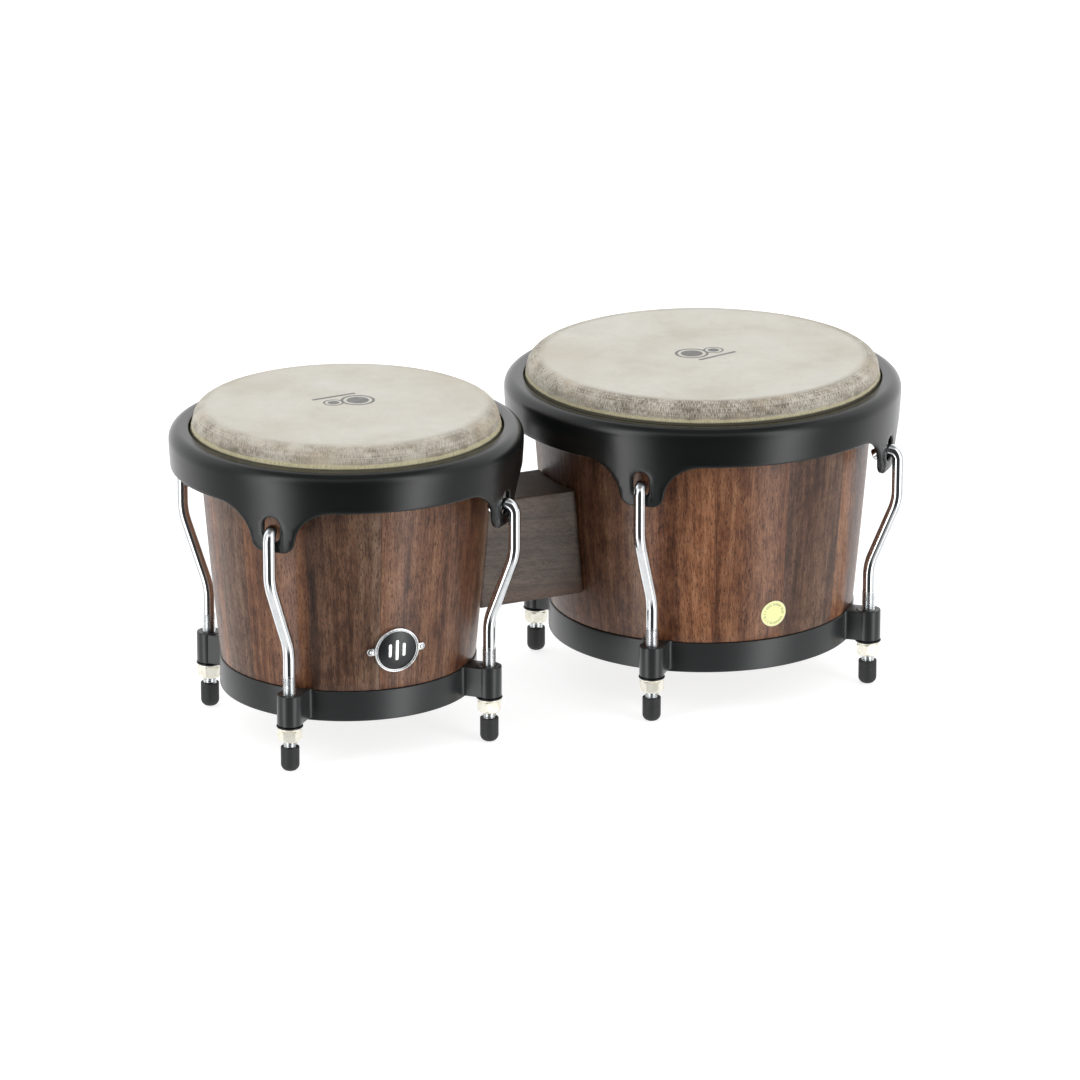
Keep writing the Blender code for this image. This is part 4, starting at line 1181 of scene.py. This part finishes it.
def build_block(material):
    half = BLOCK_WIDTH / 2

    def ends(y, z):
        left = SMALL.x + np.sqrt((shell_radius(SMALL, z) + GAP) ** 2 - y ** 2)
        right = LARGE.x - np.sqrt((shell_radius(LARGE, z) + GAP) ** 2 - y ** 2)
        return left, right

    def place(x, y, depth):
        """x runs from 0 to 1 between the shells, scaled to the block's length; depth runs down."""
        z = BLOCK_TOP_Z - depth
        left, right = ends(y, z)
        return np.stack([left + (right - left) * (x / half), y, z], axis=-1)

    corners = [(0.0, -half), (half, -half), (half, half), (0.0, half)]
    outline = closed_resampled(rounded(corners, 0.0012), 0.0025)
    shape = Shape()
    slab(shape, [(outline, False)], BLOCK_TOP_Z - BLOCK_FOOT_Z, 0.0011, place, 0.004)
    add_piece("centre_block_body", shape, material, "block_wood", "frame", ["centre_block"], 50.0)


def build_rods(material):
    for level, z in ROD_HEIGHTS:
        small_wall = SMALL.x + float(shell_radius(SMALL, z)) - SHELL_WALL
        large_wall = LARGE.x - float(shell_radius(LARGE, z)) + SHELL_WALL
        along = Matrix.Translation((0.0, 0.0, z)) @ Matrix.Rotation(math.pi / 2, 4, "Y")
        low, high = small_wall - ROD_END, large_wall + ROD_END
        shape = Shape()
        helix_rod(shape, ROD_RADIUS, ROD_THREAD_DEPTH, ROD_PITCH, low, high, ROD_RADIUS)
        disc(shape, ROD_RADIUS, low)
        disc(shape, ROD_RADIUS, high)
        add_piece(f"centre_rod_{level}_thread", shape.moved(along), material, "steel", "frame",
                  [f"centre_rod_{level}"], 38.0)
        for drum, start in ((SMALL, small_wall - ROD_NUT_STANDOFF - ROD_NUT_HEIGHT),
                            (LARGE, large_wall + ROD_NUT_STANDOFF)):
            shape = Shape()
            hex_nut(shape, ROD_NUT_FLATS, start, start + ROD_NUT_HEIGHT, ROD_RADIUS + GAP, 0.0006, 0.0006)
            node = f"{drum.name}_rod_nut_{level}"
            add_piece(node + "_hex", shape.moved(along), material, "steel", "frame", [node], 38.0)


def build_plates(material):
    for drum, side in ((SMALL, 1.0), (LARGE, -1.0)):
        corners = [(-PLATE_WIDTH / 2, PLATE_FOOT_Z), (PLATE_WIDTH / 2, PLATE_FOOT_Z),
                   (PLATE_WIDTH / 2, PLATE_TOP_Z), (-PLATE_WIDTH / 2, PLATE_TOP_Z)]
        outline = closed_resampled(rounded(corners, 0.0040), 0.003)
        holes = [(arc((0.0, z), ROD_RADIUS + GAP, 360.0, 0.0, 24)[:-1], False) for _, z in ROD_HEIGHTS]

        def place(x, z, depth, drum=drum, side=side):
            radius = shell_radius(drum, z) - SHELL_WALL - GAP - depth
            angle = np.arcsin(x / radius)
            return np.stack([drum.x + side * radius * np.cos(angle), radius * np.sin(angle), z], axis=-1)

        shape = Shape()
        slab(shape, [(outline, False)] + holes, PLATE_THICKNESS, 0.0003, place, 0.0035)
        node = drum.name + "_backing_plate"
        add_piece(node + "_sheet", shape, material, "steel", "frame", [node], 45.0)


# ---------------------------------------------------------------- badge and label

def badge_outline():
    """The badge seen from the front: a disc with a round ear on each side, joined by small fillets."""
    points = []
    for k in range(180):
        a = 2 * math.pi * k / 180
        best = BADGE_RADIUS - 0.0006
        for side in (-1.0, 1.0):
            # distance along this direction to the far side of the ear's circle
            c = BADGE_EAR_OFFSET * side * math.cos(a)
            reach = c * c - BADGE_EAR_OFFSET ** 2 + BADGE_EAR_RADIUS ** 2
            if reach > 0 and c > 0:
                best = max(best, c + math.sqrt(reach))
        points.append((best * math.cos(a), best * math.sin(a)))
    return points


def behind_badge(x):
    """Depth of the shell's face behind the badge's own plane."""
    radius = float(shell_radius(SMALL, BADGE_Z))
    return radius - np.sqrt(radius ** 2 - x ** 2) - GAP


def badge_bezel():
    """The plated back with its ears, and the raised rim with a groove inside it."""
    def place(x, y, depth):
        low = -behind_badge(x)
        high = BADGE_EAR_HEIGHT - 0.3 * behind_badge(x)
        return np.stack([x, y, high - (high - low) * depth / BADGE_EAR_HEIGHT], axis=-1)

    shape = Shape()
    slab(shape, [(badge_outline(), False)], BADGE_EAR_HEIGHT, 0.0004, place, 0.0025)
    top = BADGE_HEIGHT
    groove = BADGE_FACE + 0.0005
    lathe(shape, [(BADGE_FACE, top - 0.0009)]
          + arc((BADGE_FACE + 0.00025, top - 0.0003), 0.00025, 180.0, 0.0, 6)
          + [(groove, top - 0.0011), (groove + 0.0004, top - 0.0011), (groove + 0.0004, top - 0.0003)]
          + arc((groove + 0.0007, top - 0.0003), 0.0003, 180.0, 90.0, 3)
          + arc((BADGE_RADIUS - 0.0005, top - 0.0005), 0.0005, 90.0, 0.0, 5)
          + [(BADGE_RADIUS, -0.0004), (BADGE_FACE, -0.0004)], 96)
    return shape


def badge_face():
    top = BADGE_HEIGHT
    shape = Shape()
    lathe(shape, [(0.0, top - 0.0006), (BADGE_FACE - 0.0003, top - 0.0006), (BADGE_FACE, top - 0.0008),
                  (BADGE_FACE, top - 0.0012), (0.0, top - 0.0012)], 96, closed=False)
    return shape


def level_slab(shape, outline, thickness, rounding, top):
    slab(shape, [(outline, False)], thickness, rounding, lambda x, y, d: np.stack([x, y, top - d], axis=-1))


def badge_emblem():
    """A plain emblem of three raised upright bars."""
    low, top = BADGE_HEIGHT - 0.00062, BADGE_HEIGHT - 0.0003
    half = BADGE_BAR_HALF
    shape = Shape()
    for x, reach in BADGE_BARS:
        corners = [(x - half, -reach), (x + half, -reach), (x + half, reach), (x - half, reach)]
        level_slab(shape, rounded(corners, 0.0009), top - low, 0.0001, top)
    return shape


def badge_screw(side):
    """A cross-head screw, each turned its own way."""
    seat = BADGE_EAR_HEIGHT - 0.3 * float(behind_badge(BADGE_EAR_OFFSET))
    head = BADGE_SCREW_HEAD
    shape = Shape()
    lathe(shape, [(0.0, seat + 0.0007)] + arc((0.0, seat - 0.0012), (head, 0.0019), 70.0, 30.0, 5)
          + [(head, seat - 0.0002), (0.0010, seat - 0.0002), (0.0009, seat - 0.0060), (0.0, seat - 0.0068)],
          40, closed=False)
    long, wide = BADGE_SLOT_HALF
    spoke = Shape()
    level_slab(spoke, [(-long, -wide), (long, -wide), (long, wide), (-long, wide)], 0.0003, 0.00005,
               seat + 0.00082)
    for turn in (45.0, 135.0):
        shape.add(spoke, Matrix.Rotation(math.radians(turn + 12.0 * side), 4, "Z"))
    return shape


def enamel_material():
    g = Graph("badge_enamel")
    speck = g.step(g.noise(g.place(), 2400.0), 0.55, 0.75)
    color = g.mix(speck * 0.35, (0.008, 0.0095, 0.0105), (0.030, 0.034, 0.036))
    return g.surface(Base_Color=color, Roughness=0.28 + speck * 0.2, Normal=g.bump(speck, 0.00003, 0.4))


def build_badge(plate):
    radius = float(shell_radius(SMALL, BADGE_Z))
    matrix = facing_out(SMALL, BADGE_ANGLE, radius, BADGE_Z, shell_slope(SMALL))
    add_piece("badge_bezel", badge_bezel().moved(matrix), plate, "chrome", "frame", ["badge"])
    add_piece("badge_face", badge_face().moved(matrix), enamel_material(), "chrome", "frame")
    add_piece("badge_emblem", badge_emblem().moved(matrix), plate, "chrome", "frame")
    for name, side in (("left", -1.0), ("right", 1.0)):
        place = matrix @ Matrix.Translation((side * BADGE_EAR_OFFSET, 0.0, 0.0))
        add_piece(f"badge_screw_{name}_head", badge_screw(side).moved(place), plate, "chrome", "frame",
                  [f"badge_screw_{name}"])


def label_material():
    """Pale printed paper with a ring of plain tick marks."""
    g = Graph("label_print")
    spot = g.spot()
    x, y, _ = g.split(spot)
    away = g.vector("LENGTH", g.join(x, y, 0.0))
    grain = g.noise(spot, 900.0, 3.0)

    def beyond(part, far=0.04, to_low=0.0, to_high=1.0):
        return g.step(away, LABEL_RADIUS * part, LABEL_RADIUS * (part + far), to_low, to_high)

    base = g.mix(grain, (0.82, 0.83, 0.35), (0.90, 0.91, 0.45))
    base = g.mix(beyond(0.88) * 0.4, base, (0.78, 0.76, 0.60))
    slots = g.math("ARCTAN2", y, x) * (LABEL_TICKS / (2 * math.pi))
    chance = g.random(g.math("FLOOR", slots))[0]
    phase = g.math("ABSOLUTE", g.math("FRACT", slots) - 0.5)
    tick = g.step(phase, 0.22, 0.30, 1.0, 0.0) * g.step(chance, 0.12, 0.16)
    band = beyond(0.62) * beyond(0.80, to_low=1.0, to_high=0.0)
    color = g.mix(tick * band * 0.72, base, (0.16, 0.18, 0.07))
    return g.surface(Base_Color=color, Roughness=0.42 + grain * 0.12)


def build_label():
    radius = float(shell_radius(LARGE, LABEL_Z))
    slope = shell_slope(LARGE)
    outline = arc((0.0, 0.0), LABEL_RADIUS, 0.0, 360.0, 72)[:-1]
    spots = []

    def place(x, y, depth):
        z = LABEL_Z + y * math.cos(slope)
        r = shell_radius(LARGE, z) + GAP + LABEL_THICKNESS - depth
        angle = math.radians(LABEL_ANGLE) + x / radius
        spots.extend(zip(x, y, depth))
        return np.stack([LARGE.x + r * np.cos(angle), r * np.sin(angle), z], axis=-1)

    shape = Shape()
    slab(shape, [(outline, False)], LABEL_THICKNESS, 0.0001, place, 0.0022)
    shape.spots = spots
    add_piece("round_label_sticker", shape, label_material(), "label_paper", "frame", ["round_label"], 40.0)


# ---------------------------------------------------------------- studio

def build_camera():
    azimuth, elevation = math.radians(CAMERA_AZIMUTH), math.radians(CAMERA_ELEVATION)
    away = Vector((math.sin(azimuth) * math.cos(elevation), -math.cos(azimuth) * math.cos(elevation),
                   math.sin(elevation)))
    data = bpy.data.cameras.new("camera")
    data.lens = CAMERA_LENS
    data.sensor_width = CAMERA_SENSOR
    data.clip_end = CAMERA_REACH
    camera = bpy.data.objects.new("camera", data)
    camera.location = CAMERA_TARGET + away * CAMERA_DISTANCE
    camera.rotation_euler = (-away).to_track_quat("-Z", "Y").to_euler()
    bpy.context.scene.collection.objects.link(camera)
    bpy.context.scene.camera = camera


def build_world():
    """A studio: dark towards the camera, a strip light either side of it, and white walls and ceiling."""
    world = bpy.data.worlds.new("studio")
    bpy.context.scene.world = world
    world.use_nodes = True
    g = Graph("studio", world.node_tree)
    x, y, z = g.split(g.place("Generated"))
    azimuth = math.radians(CAMERA_AZIMUTH)
    facing = x * math.sin(azimuth) + y * -math.cos(azimuth)
    level = g.math("SQRT", g.math("MAXIMUM", 1.0 - z * z, 0.0001))
    turn = g.math("ARCCOSINE", g.math("DIVIDE", facing, level)) * (1 / math.pi)
    side = g.ramp(turn, [(a / 180.0, (v / SIDE_SCALE,) * 3) for a, v in SIDE_LIGHT])
    light = g.mix(g.step(z, 0.55, 0.85), g.tinted(side, (SIDE_SCALE,) * 3), (TOP_LIGHT,) * 3)
    glossy = g.add("LightPath", output="Is Glossy Ray")
    light = g.mix(glossy * g.step(z, 0.70, 0.95), light, (HIGH_GLOSS,) * 3)
    light = g.mix(g.step(z, -0.80, -0.50, 1.0, 0.0), light, (BOTTOM_LIGHT,) * 3)
    light = g.mix(g.add("LightPath", output="Is Camera Ray"), light, (1.0, 1.0, 1.0))
    g.add("OutputWorld", Surface=g.add("Background", Color=light, Strength=1.0))


def build_floor():
    """A wide pale floor that the camera sees, while reflections look through it to the studio."""
    line = [FLOOR_SIZE * (2 * i / FLOOR_STEPS - 1) for i in range(FLOOR_STEPS + 1)]
    shape = Shape()
    shape.grid([[(x, y, FLOOR_Z) for y in line] for x in line], wrap_columns=False)
    g = Graph("floor_white")
    pale = g.mix(g.noise(g.place(), 3.0), (0.40, 0.40, 0.40), (0.42, 0.42, 0.42))
    lit = g.add("AddShader", g.add("BsdfDiffuse", Color=pale),
                g.add("Emission", Color=(1.0, 1.0, 1.0), Strength=0.80))
    seen = g.add("LightPath", output="Is Camera Ray")
    g.add("OutputMaterial", Surface=g.add("MixShader", seen, g.add("BsdfTransparent"), lit))
    mesh = shape.mesh("floor", 30.0)
    mesh.materials.append(g.material)
    floor = bpy.data.objects.new("floor", mesh)
    bpy.context.scene.collection.objects.link(floor)


# ---------------------------------------------------------------- assembly

# Each metal's two tints, roughness and its spread, scale of pattern, and depth of bump
METALS = {
    "polished_chrome": ((0.82, 0.84, 0.85), (0.74, 0.76, 0.78), 0.07, 0.05),
    "thread_plate": ((0.76, 0.78, 0.79), (0.62, 0.64, 0.65), 0.22, 0.10, 260.0, 0.00003),
    "pale_zinc": ((0.90, 0.88, 0.80), (0.82, 0.79, 0.68), 0.52, 0.12, 260.0, 0.00004),
    "dark_washer_oxide": ((0.050, 0.050, 0.052), (0.030, 0.030, 0.031), 0.40, 0.10, 300.0),
    "bright_steel": ((0.52, 0.53, 0.54), (0.42, 0.42, 0.43), 0.26, 0.12, 140.0, 0.00003),
    "badge_plate": ((0.66, 0.67, 0.67), (0.52, 0.53, 0.54), 0.20, 0.10, 300.0, 0.00003),
}
# Each powder coat's darkest and lightest tone, roughness and specular level
COATS = {
    "black_powder_coat": ((0.0040, 0.0049, 0.0048), (0.0062, 0.0072, 0.0071), 0.225, 0.37),
    "ring_powder_coat": ((0.0170, 0.0190, 0.0195), (0.0220, 0.0240, 0.0245), 0.300, 0.42),
}


def build():
    black, ring_black = [powder_coat_material(name, *look) for name, look in COATS.items()]
    chrome, thread, zinc, oxide, steel, plate = [metal_material(name, *look) for name, look in METALS.items()]
    rubber = rubber_material()
    for drum in DRUMS:
        build_shell(drum)
        build_skin(drum)
        build_hoop(drum, steel)
        build_rim(drum, black)
        build_ring(drum, ring_black)
        build_lugs(drum, chrome, thread, zinc, oxide, rubber)
    build_block(block_material())
    build_rods(steel)
    build_plates(steel)
    build_badge(plate)
    build_label()
    build_floor()
    build_world()
    build_camera()
    scene = bpy.context.scene
    scene.view_settings.view_transform = "Standard"
    scene.view_settings.look = "None"


build()
